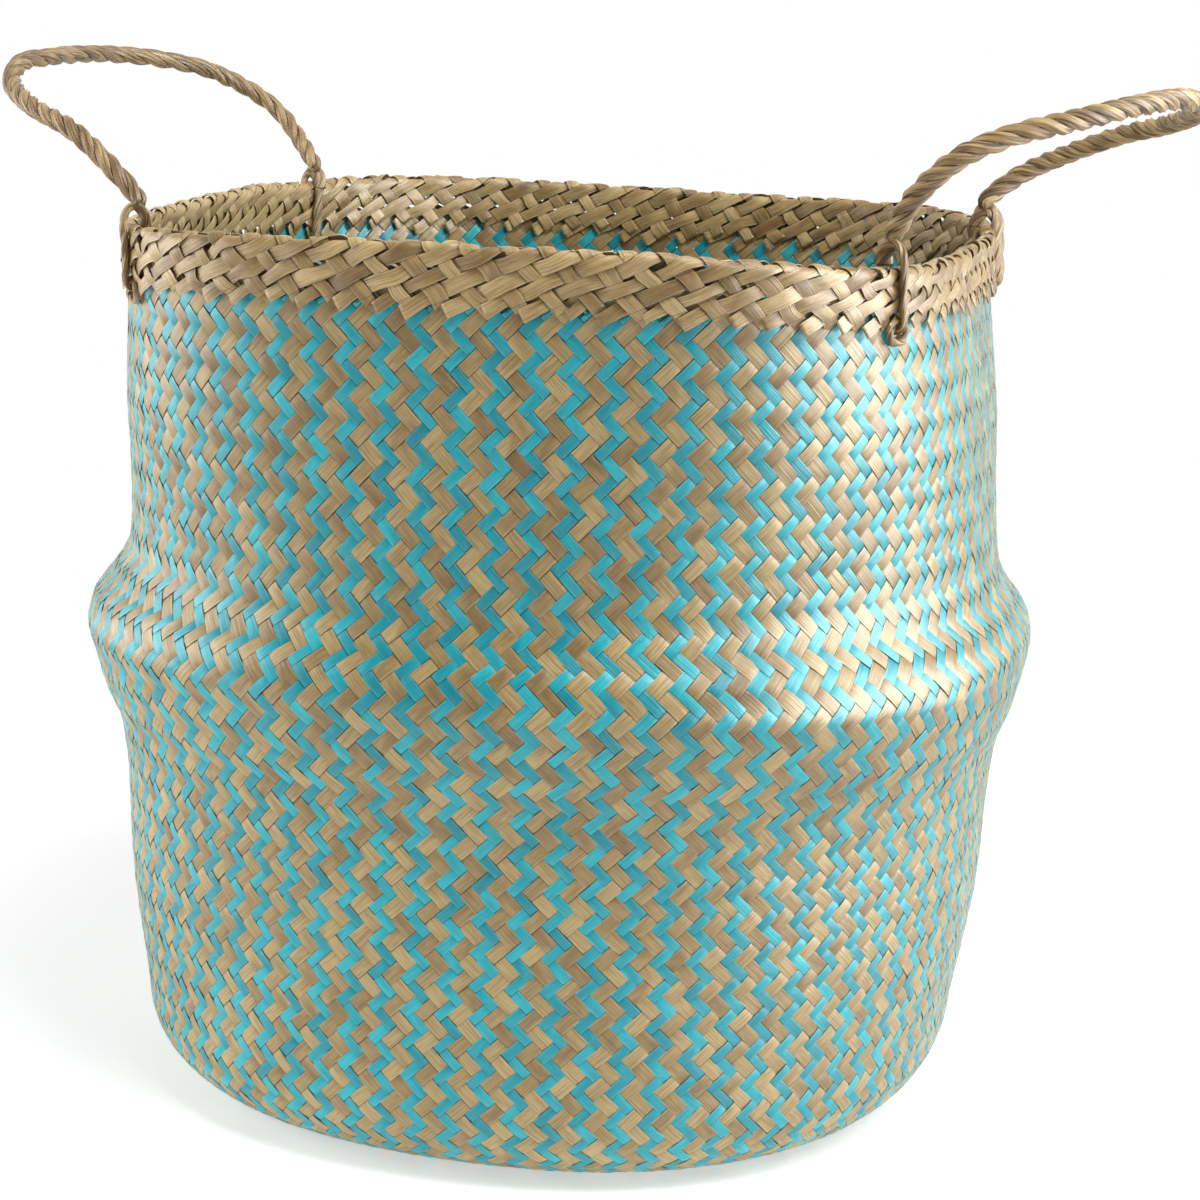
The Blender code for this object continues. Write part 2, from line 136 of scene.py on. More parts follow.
@dataclass
class BasketSkin:
    """Middle surface of the plaited wall, from the edge of the base up to the rim."""

    sizes: BasketSizes
    samples: int = 656
    row_height: float = 0.0012
    base_reach: float = 0.012
    unit_heights: tuple = (0.00, 0.12, 0.16, 0.19, 0.23, 0.26, 0.31, 0.37)
    unit_sizes: tuple = (0.00333, 0.00335, 0.00360, 0.00380, 0.00380, 0.00374, 0.00370, 0.00358)
    wave_columns: tuple = (0, 5, 8, 12, 17, 24, 29, 32, 34, 37, 41, 45, 49, 51, 54, 58, 62, 66, 70, 73, 75, 82)
    wave_rises: tuple = (-0.0036, -0.0036, -0.0018, 0, -0.0007, 0.0004, 0.0012, 0.0012, 0, 0.0010, -0.0005,
                         -0.0022, -0.0034, -0.0026, -0.0008, 0.0012, 0.0019, 0.0024, 0.0002, -0.0032, -0.0038,
                         -0.0036)

    def __post_init__(self) -> None:
        """Work the surface out once as a grid of points, normals and weave levels."""
        rows = self._profile()
        grid = np.array([self._ring(row) for row in rows])
        for _ in range(2):
            grid[1:-1] = 0.25 * grid[:-2] + 0.5 * grid[1:-1] + 0.25 * grid[2:]
        round_way = np.roll(grid, -1, axis=1) - np.roll(grid, 1, axis=1)
        up_way = np.gradient(grid, axis=0)
        normals = np.cross(round_way, up_way)
        normals /= np.linalg.norm(normals, axis=2, keepdims=True)
        steps = np.linalg.norm(np.diff(grid, axis=0), axis=2).mean(axis=1)
        heights = grid[:, :, 2].mean(axis=1)
        start = int(np.argmax(heights > self.sizes.foot[0]))
        unit = np.interp(heights, self.unit_heights, self.unit_sizes)
        levels = np.concatenate([[0.0], np.cumsum(steps / (0.5 * (unit[1:] + unit[:-1])))])
        self.levels = levels - levels[start]
        self.units = unit
        self.heights = heights
        self.wall_row = start
        self.girths = np.linalg.norm(np.roll(grid, -1, axis=1) - grid, axis=2).sum(axis=1)
        self.grid = np.concatenate([grid, grid[:, :1]], axis=1)
        self.normals = np.concatenate([normals, normals[:, :1]], axis=1)

    def _profile(self) -> Array:
        """Rows of height, half length, half width, squareness and inset, from the base to the rim."""
        size = self.sizes
        middle = 0.5 * size.weave_thickness
        radius = size.corner_radius - middle
        rows = []
        for inset in np.arange(size.corner_radius + self.base_reach, size.corner_radius, -self.row_height):
            rows.append((middle, *size.foot[1:], inset))
        for angle in np.linspace(0.0, 0.5 * math.pi, 40)[:-1]:
            rows.append((middle + radius * (1.0 - math.cos(angle)), *size.foot[1:],
                         middle + radius * (1.0 - math.sin(angle))))
        wall = size.wall_rows()
        heights = np.append(np.arange(size.foot[0], size.rim[0], self.row_height), size.rim[0])
        columns = [monotone_curve(wall[:, 0], wall[:, i], heights) for i in (1, 2, 3)]
        rows += [(z, a, b, n, middle) for z, a, b, n in zip(heights, *columns)]
        return np.array(rows)

    def _ring(self, row: Array) -> Array:
        """Even points round one row, counter-clockwise from +X."""
        height, half_length, half_width, squareness, inset = row
        angles = np.linspace(0.0, 2.0 * math.pi, 2881)
        radii = (np.abs(np.cos(angles) / half_length) ** squareness
                 + np.abs(np.sin(angles) / half_width) ** squareness) ** (-1.0 / squareness)
        xs, ys = radii * np.cos(angles), radii * np.sin(angles)
        walked = np.concatenate([[0.0], np.cumsum(np.hypot(np.diff(xs), np.diff(ys)))])
        stops = np.arange(self.samples) / self.samples * walked[-1]
        xs, ys = np.interp(stops, walked, xs), np.interp(stops, walked, ys)
        run_x, run_y = np.roll(xs, -1) - np.roll(xs, 1), np.roll(ys, -1) - np.roll(ys, 1)
        run = np.hypot(run_x, run_y)
        return np.stack([xs - inset * run_y / run, ys + inset * run_x / run, np.full_like(xs, height)], axis=1)

    def rise(self, column: Array) -> Array:
        """How far the uneven rim stands above or below its usual height at a column."""
        stops = np.array(self.wave_columns, dtype=float)
        around = np.asarray(column, dtype=float) % self.sizes.columns
        return monotone_curve(stops, np.array(self.wave_rises, dtype=float), around)

    def level_at(self, height: Array | float) -> Array:
        """Weave level of the wall at a height above the base corner."""
        return np.interp(height, self.heights[self.wall_row:], self.levels[self.wall_row:])

    def place(self, turn: Array, level: Array) -> tuple[Array, Array]:
        """Points and outward normals of the surface.

        Args:
            turn: Shares of the way round, counter-clockwise from +X.
            level: Weave levels.

        Returns:
            Points and normals, each with a last axis of three.
        """
        row = np.interp(level, self.levels, np.arange(len(self.levels)))
        r0 = np.clip(row.astype(int), 0, len(self.levels) - 2)
        across = (turn % 1.0) * self.samples
        k0 = np.clip(across.astype(int), 0, self.samples - 1)
        fr, fa = (row - r0)[..., None], (across - k0)[..., None]
        blended = []
        for table in (self.grid, self.normals):
            low = table[r0, k0] * (1.0 - fa) + table[r0, k0 + 1] * fa
            high = table[r0 + 1, k0] * (1.0 - fa) + table[r0 + 1, k0 + 1] * fa
            blended.append(low * (1.0 - fr) + high * fr)
        blended[1] /= np.linalg.norm(blended[1], axis=-1, keepdims=True)
        return blended[0], blended[1]

    def pitch(self, level: Array, count: int) -> Array:
        """Width of one of count equal parts of the girth at a level."""
        return np.interp(level, self.levels, self.girths) / count

    def unit(self, level: Array) -> Array:
        """Height of one weave level along the wall."""
        return np.interp(level, self.levels, self.units)


# Strips and strands


@dataclass(frozen=True)
class Outline:
    """Outline of a strip or strand across its length, counter-clockwise seen against its run.

    Attributes:
        across: Place of each point across, from 1 at the left edge to -1 at the right edge.
        lift: Height of each point, as a share of the thickness.
        sharp: Which points carry a sharp edge.
        wraps: Whether the pattern runs round the outline, as on a round strand.
    """

    across: tuple
    lift: tuple
    sharp: tuple
    wraps: bool = False

    @property
    def pattern(self) -> Array:
        """Place across the pattern of each point, with one more for the point where it closes."""
        count = len(self.across)
        if self.wraps:
            return np.arange(count + 1) / count
        shares = 0.5 - 0.5 * np.array(self.across)
        return np.append(shares, shares[0])


SPLIT_LEAF = Outline((1.0, 0.0, -1.0, -1.0, 1.0), (0.26, 0.62, 0.26, -0.30, -0.30), (0, 2, 3, 4))
BROAD_LEAF = Outline((1.0, 0.55, 0.0, -0.55, -1.0, -1.0, -0.55, 0.0, 0.55, 1.0),
                     (0.20, 0.48, 0.60, 0.48, 0.20, -0.30, -0.34, -0.36, -0.34, -0.30), (0, 4, 5, 9))


@dataclass
class StrandTemplate:
    """A capped tube of unit rings, copied once for each strip and then laid in place."""

    outline: Outline
    rows: int

    def __post_init__(self) -> None:
        """Make the tube and note the ring and the outline point of every vertex."""
        sides = len(self.outline.across)
        tube = bmesh.new()
        bmesh.ops.create_cone(tube, cap_ends=True, cap_tris=False, segments=sides, radius1=1.0, radius2=1.0,
                              depth=float(self.rows - 1))
        long_edges = [e for e in tube.edges if abs(e.verts[0].co.z - e.verts[1].co.z) > 0.5]
        bmesh.ops.subdivide_edges(tube, edges=long_edges, cuts=self.rows - 2, use_grid_fill=True)
        bmesh.ops.recalc_face_normals(tube, faces=tube.faces)
        first = min(math.atan2(v.co.y, v.co.x) % (2.0 * math.pi) for v in tube.verts)
        around = {}
        for vert in tube.verts:
            angle = (math.atan2(vert.co.y, vert.co.x) - first) % (2.0 * math.pi)
            around[vert] = round(angle / (2.0 * math.pi) * sides) % sides
        for edge in tube.edges:
            pair = {around[vert] for vert in edge.verts}
            edge.smooth = not (len(pair) == 1 and pair.pop() in self.outline.sharp)
        pattern = tube.loops.layers.uv.new("strip")
        for face in tube.faces:
            face.smooth = True
            wraps = {around[v] for v in face.verts} >= {0, sides - 1} and len(face.verts) == 4
            for loop in face.loops:
                place = around[loop.vert]
                loop[pattern].uv = (0.0, float(sides if wraps and place == 0 else place))
        self.mesh = bpy.data.meshes.new("strand_template")
        tube.to_mesh(self.mesh)
        tube.free()
        spots = np.empty(len(self.mesh.vertices) * 3)
        self.mesh.vertices.foreach_get("co", spots)
        spots = spots.reshape(-1, 3)
        self.ring = np.rint(spots[:, 2] + 0.5 * (self.rows - 1)).astype(int)
        angles = (np.arctan2(spots[:, 1], spots[:, 0]) - first) % (2.0 * math.pi)
        self.point = np.rint(angles / (2.0 * math.pi) * sides).astype(int) % sides
        uvs = np.empty(len(self.mesh.loops) * 2)
        self.mesh.uv_layers["strip"].data.foreach_get("uv", uvs)
        self.loop_place = np.rint(uvs.reshape(-1, 2)[:, 1]).astype(int)
        corners = np.empty(len(self.mesh.loops), dtype=np.int32)
        self.mesh.loops.foreach_get("vertex_index", corners)
        self.loop_vertex = corners

    def lay(self, name: str, points: Array, along: Array, cover: Array, tones: Array) -> bpy.types.Object:
        """Copy the tube for every strip and lay the copies in place.

        Args:
            name: Name of the finished piece.
            points: Places as strips by rings by outline points by three.
            along: Length walked at each ring of each strip, in metres.
            cover: How near each point is to going out of sight under another strip, 1 where it does.
            tones: One number from 0 to 1 for each strip, kept as an attribute.

        Returns:
            The piece as one object at the origin.
        """
        bundle = bmesh.new()
        for _ in range(len(points)):
            bundle.from_mesh(self.mesh)
        mesh = bpy.data.meshes.new(name)
        bundle.to_mesh(mesh)
        bundle.free()
        places = points[:, self.ring, self.point, :].reshape(-1)
        mesh.vertices.foreach_set("co", places.astype(np.float32))
        walked = along[:, self.ring][:, self.loop_vertex]
        pattern = np.broadcast_to(self.outline.pattern[self.loop_place], walked.shape)
        uvs = np.stack([walked, pattern], axis=-1).reshape(-1)
        mesh.uv_layers["strip"].data.foreach_set("uv", uvs.astype(np.float32))
        tone = mesh.attributes.new("strip_tone", "FLOAT", "POINT")
        tone.data.foreach_set("value", np.repeat(tones, len(self.ring)).astype(np.float32))
        hidden = mesh.attributes.new("strip_cover", "FLOAT", "POINT")
        hidden.data.foreach_set("value", cover[:, self.ring, self.point].reshape(-1).astype(np.float32))
        mesh.update()
        thing = bpy.data.objects.new(name, mesh)
        bpy.context.scene.collection.objects.link(thing)
        return thing


def slow_noise(dice: np.random.Generator, strips: int, rings: int, knots: int) -> Array:
    """Gentle wander along each strip, about -1 to 1.

    Args:
        dice: Seeded source of numbers.
        strips: How many strips.
        rings: Rings along each strip.
        knots: Turning points along each strip.

    Returns:
        Array of strips by rings.
    """
    spots = dice.uniform(-1.0, 1.0, (strips, knots + 3))
    place = np.linspace(0.0, knots, rings)
    i = np.minimum(place.astype(int), knots - 1)
    t = place - i
    ease = t * t * (3.0 - 2.0 * t)
    return spots[:, i] * (1.0 - ease) + spots[:, i + 1] * ease


@dataclass
class StripRun:
    """Strips of one lay before they are laid. All arrays but numbers are strips by rings.

    Attributes:
        lay: Family of the strips.
        numbers: Their numbers.
        rows: Rows at which rings stand.
        widths: Half widths.
        drift: How far each ring is off its line.
        swell: How far each ring stands off the surface.
        roll: Slope across each ring, positive where its left edge is raised.
        phase: How far along the strip its crossings lie, where broad and narrow strips alternate.
        shown: Half length of what shows where a strip lies on top, in crossings.
    """

    lay: Lay
    numbers: Array
    rows: Array
    widths: Array
    drift: Array
    swell: Array
    roll: Array
    phase: float = 0.0
    shown: float = 1.0


@dataclass
class Plait:
    """Two families of strips that cross on a surface.

    Attributes:
        place: Gives points and normals for strip numbers and rows.
        pitch: Distance between two strips of a family, measured level, at a row.
        row: Height of one row at a row.
        outline: Outline across a strip.
        thickness: Thickness of a strip.
        rising_run: Strips passed per row by a rising strip; a falling one passes the rest of 1.
        repeat: Rows after which the crossings repeat, 4 for a twill and 2 for a plain plait.
        lift: How far a strip stands out from the middle where it lies on top.
        steepness: How suddenly a strip dips under another, about 1 for a gentle wave.
    """

    place: Callable[[Array, Array], tuple[Array, Array]]
    pitch: Callable[[Array], Array]
    row: Callable[[Array], Array]
    outline: Outline
    thickness: float
    rising_run: float = 0.5
    repeat: int = 4
    lift: float = 0.00052
    steepness: float = 4.0

    def _top_height(self, crossing: Array) -> Array:
        """Height of a rising strip at its crossing number, positive where it lies on top."""
        centre = 0.5 * (self.repeat // 2 - 1)
        wave = np.cos(2.0 * math.pi * (crossing - centre) / self.repeat)
        return self.lift * np.tanh(self.steepness * wave) / math.tanh(self.steepness)

    def _spread(self, run: StripRun) -> tuple[Array, Array, Array]:
        """Places of every outline point of some strips.

        Args:
            run: The strips.

        Returns:
            Points as strips by rings by outline points by three, the length walked and the cover.
        """
        way = float(run.lay.value)
        passed = self.rising_run if run.lay is Lay.RISING else 1.0 - self.rising_run
        own, rows = run.numbers[:, None], run.rows
        level = own + way * passed * rows
        pitch, row = self.pitch(rows), self.row(rows)
        length = np.hypot(passed * pitch, row)
        side = np.array(self.outline.across) * run.widths[..., None] + run.drift[..., None]
        turn = level[..., None] - side * (row / (length * pitch))[..., None]
        height = rows[..., None] + way * side * (passed * pitch / (length * row))[..., None]
        half, on_top = 0.5 * self.repeat, 0.5 * (self.repeat // 2 - 1)
        if run.lay is Lay.RISING:
            crossing = turn + (1.0 - self.rising_run) * height - own[..., None] - run.phase
            lift = self._top_height(crossing)
        else:
            crossing = own[..., None] - (turn - self.rising_run * height) - run.phase
            lift, on_top = -self._top_height(crossing), on_top + half
        cover = np.abs((crossing - on_top + half) % self.repeat - half) / run.shown
        lift = (lift + np.array(self.outline.lift) * self.thickness + run.swell[..., None]
                + side * run.roll[..., None])
        points, normals = self.place(turn, height)
        points = points + normals * lift[..., None]
        steps = np.linalg.norm(np.diff(points.mean(axis=2), axis=1), axis=2)
        walked = np.concatenate([np.zeros((len(steps), 1)), np.cumsum(steps, axis=1)], axis=1)
        return points, walked, cover

    def weave(self, name: str, run: StripRun, dice: np.random.Generator,
              paler: Array | float = 0.0) -> bpy.types.Object:
        """Lay the strips of a run as one piece.

        Args:
            name: Name of the piece.
            run: The strips.
            dice: Seeded source of the place of each strip's grain and of its tone.
            paler: What is added to the tones, such as the border's painted light.

        Returns:
            The piece.
        """
        points, walked, cover = self._spread(run)
        strips, rings = run.rows.shape
        along = walked + dice.uniform(0, GRAIN_LENGTH, (strips, 1))
        tones = dice.uniform(0, 1, strips) + paler
        return StrandTemplate(self.outline, rings).lay(name, points, along, cover, tones)


@dataclass(frozen=True)
class LeafShares:
    """Widths of dyed and natural strips, as shares of the room that an even strip has."""

    dyed: float
    natural: float

    def width(self, leaf: Leaf) -> float:
        """Share of the room that a strip of a leaf takes."""
        return self.dyed if leaf is Leaf.DYED else self.natural

    def phase(self, leaf: Leaf) -> float:
        """How far a strip's crossings lie along it, so that broad and narrow strips meet cleanly."""
        shift = 0.25 * (self.natural - self.dyed)
        return shift if leaf is Leaf.DYED else -shift


def strip_numbers(leaf: Leaf, count: int) -> Array:
    """Numbers of a leaf's strips among count strips: the even ones are dyed."""
    return np.arange(0 if leaf is Leaf.DYED else 1, count, 2).astype(float)


def dress(piece: bpy.types.Object, finish: bpy.types.Material, slot: str, *nodes: str) -> bpy.types.Object:
    """Give a piece its finish and hide the solids that it stands for.

    Args:
        piece: The piece.
        finish: Its material.
        slot: The record's slot that the finish comes from. It is not used.
        nodes: The solids that it replaces.

    Returns:
        The same piece.
    """
    piece.data.materials.append(finish)
    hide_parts(*nodes)
    return piece


# Finishes


@dataclass
class NodeSheet:
    """Short way to lay out shader nodes in one tree."""

    tree: bpy.types.NodeTree

    def add(self, kind: str, **settings: object) -> bpy.types.Node:
        """Add a node and set its plain settings."""
        node = self.tree.nodes.new(kind)
        for name, value in settings.items():
            setattr(node, name, value)
        return node

    def join(self, source: bpy.types.NodeSocket, target: bpy.types.NodeSocket) -> None:
        """Link two sockets."""
        self.tree.links.new(source, target)

    def feed(self, socket: bpy.types.NodeSocket, value: object) -> None:
        """Link a socket to the value, or set it where the value is plain."""
        if isinstance(value, bpy.types.NodeSocket):
            self.join(value, socket)
        else:
            socket.default_value = value

    def math(self, operation: str, first: object, second: object = 0.0, third: object = 0.0,
             clamp: bool = False) -> bpy.types.NodeSocket:
        """Result of a Math node."""
        node = self.add("ShaderNodeMath", operation=operation, use_clamp=clamp)
        for socket, value in zip(node.inputs, (first, second, third)):
            self.feed(socket, value)
        return node.outputs[0]

    def spread(self, value: object, low: float, high: float, to_low: float = 0.0,
               to_high: float = 1.0) -> bpy.types.NodeSocket:
        """Smooth step of a value from one range to another."""
        node = self.add("ShaderNodeMapRange", interpolation_type="SMOOTHSTEP")
        for socket, item in zip(node.inputs[:5], (value, low, high, to_low, to_high)):
            self.feed(socket, item)
        return node.outputs[0]

    def noise(self, vector: object, scale: float, detail: float = 2.0,
              rough: float = 0.5) -> bpy.types.NodeSocket:
        """Value of a Noise texture."""
        node = self.add("ShaderNodeTexNoise")
        self.feed(node.inputs["Vector"], vector)
        node.inputs["Scale"].default_value = scale
        node.inputs["Detail"].default_value = detail
        node.inputs["Roughness"].default_value = rough
        return node.outputs["Fac"]

    def combine(self, x: object, y: object, z: object) -> bpy.types.NodeSocket:
        """Vector of three values."""
        node = self.add("ShaderNodeCombineXYZ")
        for socket, value in zip(node.inputs, (x, y, z)):
            self.feed(socket, value)
        return node.outputs[0]

    def mix(self, share: object, first: object, second: object, blend: str = "MIX") -> bpy.types.NodeSocket:
        """Mix of two colours."""
        node = self.add("ShaderNodeMix", data_type="RGBA", blend_type=blend)
        self.feed(node.inputs[0], share)
        self.feed(node.inputs[6], first)
        self.feed(node.inputs[7], second)
        return node.outputs[2]


def linear(red: int, green: int, blue: int) -> tuple[float, float, float, float]:
    """Colour from its screen values, 0 to 255."""
    parts = []
    for part in (red, green, blue):
        share = part / 255.0
        parts.append(share / 12.92 if share <= 0.04045 else ((share + 0.055) / 1.055) ** 2.4)
    return (parts[0], parts[1], parts[2], 1.0)


def new_group(name: str, inputs: dict[str, float], outputs: tuple[str, ...]) -> bpy.types.NodeTree:
    """Empty node group with named float sockets.

    Args:
        name: Name of the group.
        inputs: Input names with their usual values.
        outputs: Output names.

    Returns:
        The node tree, with its Group Input and Group Output nodes placed.
    """
    tree = bpy.data.node_groups.new(name, "ShaderNodeTree")
    for label, value in inputs.items():
        socket = tree.interface.new_socket(name=label, in_out="INPUT", socket_type="NodeSocketFloat")
        socket.default_value = value
    for label in outputs:
        tree.interface.new_socket(name=label, in_out="OUTPUT", socket_type="NodeSocketFloat")
    tree.nodes.new("NodeGroupInput")
    tree.nodes.new("NodeGroupOutput")
    return tree


def leaf_fibre_group() -> bpy.types.NodeTree:
    """Grain of a split leaf: fine streaks, raised ribs, slow blotches, stains and wear, pale edges that are partly
    the leaf's own and partly a painted highlight, and painted shade where a strip goes out of sight.

    Returns:
        The node group, which reads a strip's own pattern and tone.
    """
    wanted = {"Along": 0.0, "Across": 0.5, "Tone": 0.5, "Cover": 0.0, "Ribs": 9.0}
    tree = new_group("leaf_fibre", wanted, ("Streaks", "Ribs", "Blotches", "Stains", "Edges", "Wear", "Tuck_shade"))
    sheet = NodeSheet(tree)
    given = next(n for n in tree.nodes if n.type == "GROUP_INPUT").outputs
    made = next(n for n in tree.nodes if n.type == "GROUP_OUTPUT").inputs
    seed = sheet.math("MULTIPLY", given["Tone"], 37.0)
    shifted = sheet.math("ADD", given["Along"], sheet.math("MULTIPLY", given["Tone"], 9.0))

    def grain(length: float, breadth: object, detail: float, rough: float = 0.5, scale: float = 1.0,
              offset: float = 0.0) -> bpy.types.NodeSocket:
        """Noise drawn out along the leaf, with a pattern of its own on every strip."""
        place = sheet.combine(sheet.math("MULTIPLY", shifted, length),
                              sheet.math("MULTIPLY", given["Across"], breadth), sheet.math("ADD", seed, offset))
        return sheet.noise(place, scale, detail, rough)

    # The edge mask lightens both edges of a strip: partly the leaf's paler edge, partly a painted highlight on its
    # rolled edges.
    from_middle = sheet.math("ABSOLUTE", sheet.math("SUBTRACT", given["Across"], 0.5))
    ragged = sheet.math("ADD", from_middle, sheet.math("MULTIPLY", grain(60.0, 13.0, 1.0, scale=0.6), 0.06))
    # The mask made from cover is painted shade: it darkens a strip where it dips out of sight under a crossing
    # strip, and a rope's plies in the grooves between them.
    off_edge = sheet.math("ABSOLUTE", sheet.math("SUBTRACT", given["Cover"], 1.0))
    patterns = {"Streaks": grain(60.0, 13.0, 3.0, 0.65), "Ribs": grain(14.0, given["Ribs"], 1.0, 0.4),
                "Blotches": grain(72.0, 0.8, 2.0, 0.55),
                "Stains": sheet.spread(grain(45.0, 0.5, 1.0, offset=11.0), 0.58, 0.70),
                "Edges": sheet.spread(ragged, 0.42, 0.52),
                "Wear": sheet.spread(grain(320.0, 5.0, 4.0, 0.7), 0.56, 0.74),
                "Tuck_shade": sheet.spread(off_edge, 0.01, 0.08, 1.0, 0.0)}
    for label, value in patterns.items():
        sheet.join(value, made[label])
    return tree


@dataclass(frozen=True)
class LeafFinish:
    """Dried leaf strip, dyed or natural.

    Attributes:
        name: Name of the material.
        deep: Colour of the darkest strips.
        usual: Colour of most strips.
        pale: Colour of the palest strips.
        edge: Colour of a strip's pale edges, partly the leaf's own and partly a painted highlight on its rolled
            edges, and of its worn spots.
        edge_and_highlight_share: How strongly the pale edges, with their painted highlight, show.
        streak: Colour that the fine streaks and the stains lean to.
        streak_share: How strongly the streaks show.
        tuck_shade_share: How strong the painted shade is where a strip goes out of sight under another strip, and
            in a rope's grooves.
        rough: Roughness on a rib and between ribs.
        ribs: Ribs across a strip.
        relief: Height of the grain, in metres.
        gloss: Strength of the mirror-like part of the light.
        foot_paling: How much paler the leaf is at the foot than at the rim.
        paling_heights: Heights between which it gets its usual colour again.
        shade_stops: Places of the three colours on the scale of strip tones.
        tone_share: Weight of a strip's own tone on that scale.
        blotch_share: Weight of its blotches there.
        stain_share: How strongly the stains show.
        wear_share: How strongly the worn spots show.
        tuck_shade_colour: Colour of the painted shade that darkens a strip where it goes out of sight.
        streak_height: Height of the streaks as a share of the ribs'.
        grain_strength: Strength of the grain's relief.
    """

    name: str
    deep: tuple
    usual: tuple
    pale: tuple
    edge: tuple
    edge_and_highlight_share: float
    streak: tuple
    streak_share: float
    tuck_shade_share: float
    rough: tuple = (0.34, 0.50)
    ribs: float = 9.0
    relief: float = 0.00016
    gloss: float = 0.55
    foot_paling: float = 0.0
    paling_heights: tuple = (0.06, 0.32)
    shade_stops: tuple = (0.36, 0.66, 1.02)
    tone_share: float = 0.5
    blotch_share: float = 0.9
    stain_share: float = 0.38
    wear_share: float = 0.22
    tuck_shade_colour: tuple = linear(92, 66, 40)
    streak_height: float = 0.45
    grain_strength: float = 0.9

    def make(self, group: bpy.types.NodeTree) -> bpy.types.Material:
        """Make the material.

        Args:
            group: The leaf_fibre node group.

        Returns:
            The finished material.
        """
        material = bpy.data.materials.new(self.name)
        material.use_nodes = True
        sheet = NodeSheet(material.node_tree)
        shader = material.node_tree.nodes["Principled BSDF"]
        fibre = sheet.add("ShaderNodeGroup")
        fibre.node_tree = group
        pattern = sheet.add("ShaderNodeSeparateXYZ")
        sheet.join(sheet.add("ShaderNodeUVMap", uv_map="strip").outputs[0], pattern.inputs[0])
        tone, cover = (sheet.add("ShaderNodeAttribute", attribute_name=name).outputs["Fac"]
                       for name in ("strip_tone", "strip_cover"))
        for label, source in (("Along", pattern.outputs[0]), ("Across", pattern.outputs[1]), ("Tone", tone),
                              ("Cover", cover)):
            sheet.join(source, fibre.inputs[label])
        fibre.inputs["Ribs"].default_value = self.ribs
        colour = self._colour(sheet, fibre.outputs, tone)
        sheet.join(colour, shader.inputs["Base Color"])
        rough = sheet.spread(fibre.outputs["Ribs"], 0.3, 0.7, self.rough[1], self.rough[0])
        sheet.join(rough, shader.inputs["Roughness"])
        bump = sheet.add("ShaderNodeBump")
        bump.inputs["Strength"].default_value = self.grain_strength
        bump.inputs["Distance"].default_value = self.relief
        streaks = sheet.math("MULTIPLY", fibre.outputs["Streaks"], self.streak_height)
        sheet.join(sheet.math("ADD", fibre.outputs["Ribs"], streaks), bump.inputs["Height"])
        sheet.join(bump.outputs[0], shader.inputs["Normal"])
        shader.inputs["Specular IOR Level"].default_value = self.gloss
        return material

    def _colour(self, sheet: NodeSheet, fibre: bpy.types.bpy_prop_collection,
                tone: bpy.types.NodeSocket) -> bpy.types.NodeSocket:
        """Colour of the leaf, from its tone and its fibres.

        Args:
            sheet: The material's nodes.
            fibre: Outputs of the leaf_fibre group.
            tone: Tone of the strip.

        Returns:
            The colour.
        """
        shade = sheet.math("ADD", sheet.math("MULTIPLY", tone, self.tone_share),
                           sheet.math("MULTIPLY", fibre["Blotches"], self.blotch_share))
        place = sheet.add("ShaderNodeSeparateXYZ")
        sheet.join(sheet.add("ShaderNodeTexCoord").outputs["Object"], place.inputs[0])
        # The natural leaf is made paler toward the foot.
        shade = sheet.math("ADD", shade, sheet.spread(place.outputs[2], *self.paling_heights, self.foot_paling, 0.0))
        ramp = sheet.add("ShaderNodeValToRGB")
        stops = ramp.color_ramp.elements
        for stop, at, colour in zip(stops, (self.shade_stops[0], self.shade_stops[2]), (self.deep, self.pale)):
            stop.position, stop.color = at, colour
        stops.new(self.shade_stops[1]).color = self.usual
        sheet.join(shade, ramp.inputs[0])
        streaks = sheet.spread(fibre["Streaks"], 0.44, 0.64, 0.0, self.streak_share)
        colour = sheet.mix(streaks, ramp.outputs[0], self.streak)
        # Stains and worn spots are the leaf's own; the pale edges are partly its own and partly a painted
        # highlight.
        for label, share, other in (("Stains", self.stain_share, self.streak), ("Wear", self.wear_share, self.edge),
                                    ("Edges", self.edge_and_highlight_share, self.edge)):
            colour = sheet.mix(sheet.math("MULTIPLY", fibre[label], share), colour, other)
        # Painted shade: darken a strip where it goes out of sight under another, and a rope in its grooves.
        tuck_shade_mask = sheet.math("MULTIPLY", fibre["Tuck_shade"], self.tuck_shade_share)
        return sheet.mix(tuck_shade_mask, colour, self.tuck_shade_colour, "MULTIPLY")


DYED_LEAF = LeafFinish(
    "dyed_leaf", deep=linear(0, 139, 153), usual=linear(5, 160, 173), pale=linear(40, 188, 199),
    edge=linear(118, 214, 222), edge_and_highlight_share=0.38, streak=linear(0, 122, 142), streak_share=0.45, tuck_shade_share=0.62)
NATURAL_LEAF = LeafFinish(
    "natural_leaf", deep=linear(130, 104, 62), usual=linear(167, 141, 91), pale=linear(192, 167, 114),
    edge=linear(220, 200, 156), edge_and_highlight_share=0.26, streak=linear(112, 82, 44), streak_share=0.55, tuck_shade_share=0.62,
    relief=0.00018, foot_paling=0.13)
BORDER_LEAF = LeafFinish(
    "border_leaf", deep=linear(126, 98, 56), usual=linear(174, 145, 92), pale=linear(205, 178, 125),
    edge=linear(224, 201, 154), edge_and_highlight_share=0.26, streak=linear(108, 80, 42), streak_share=0.55, tuck_shade_share=0.58,
    ribs=12.0, relief=0.00022)
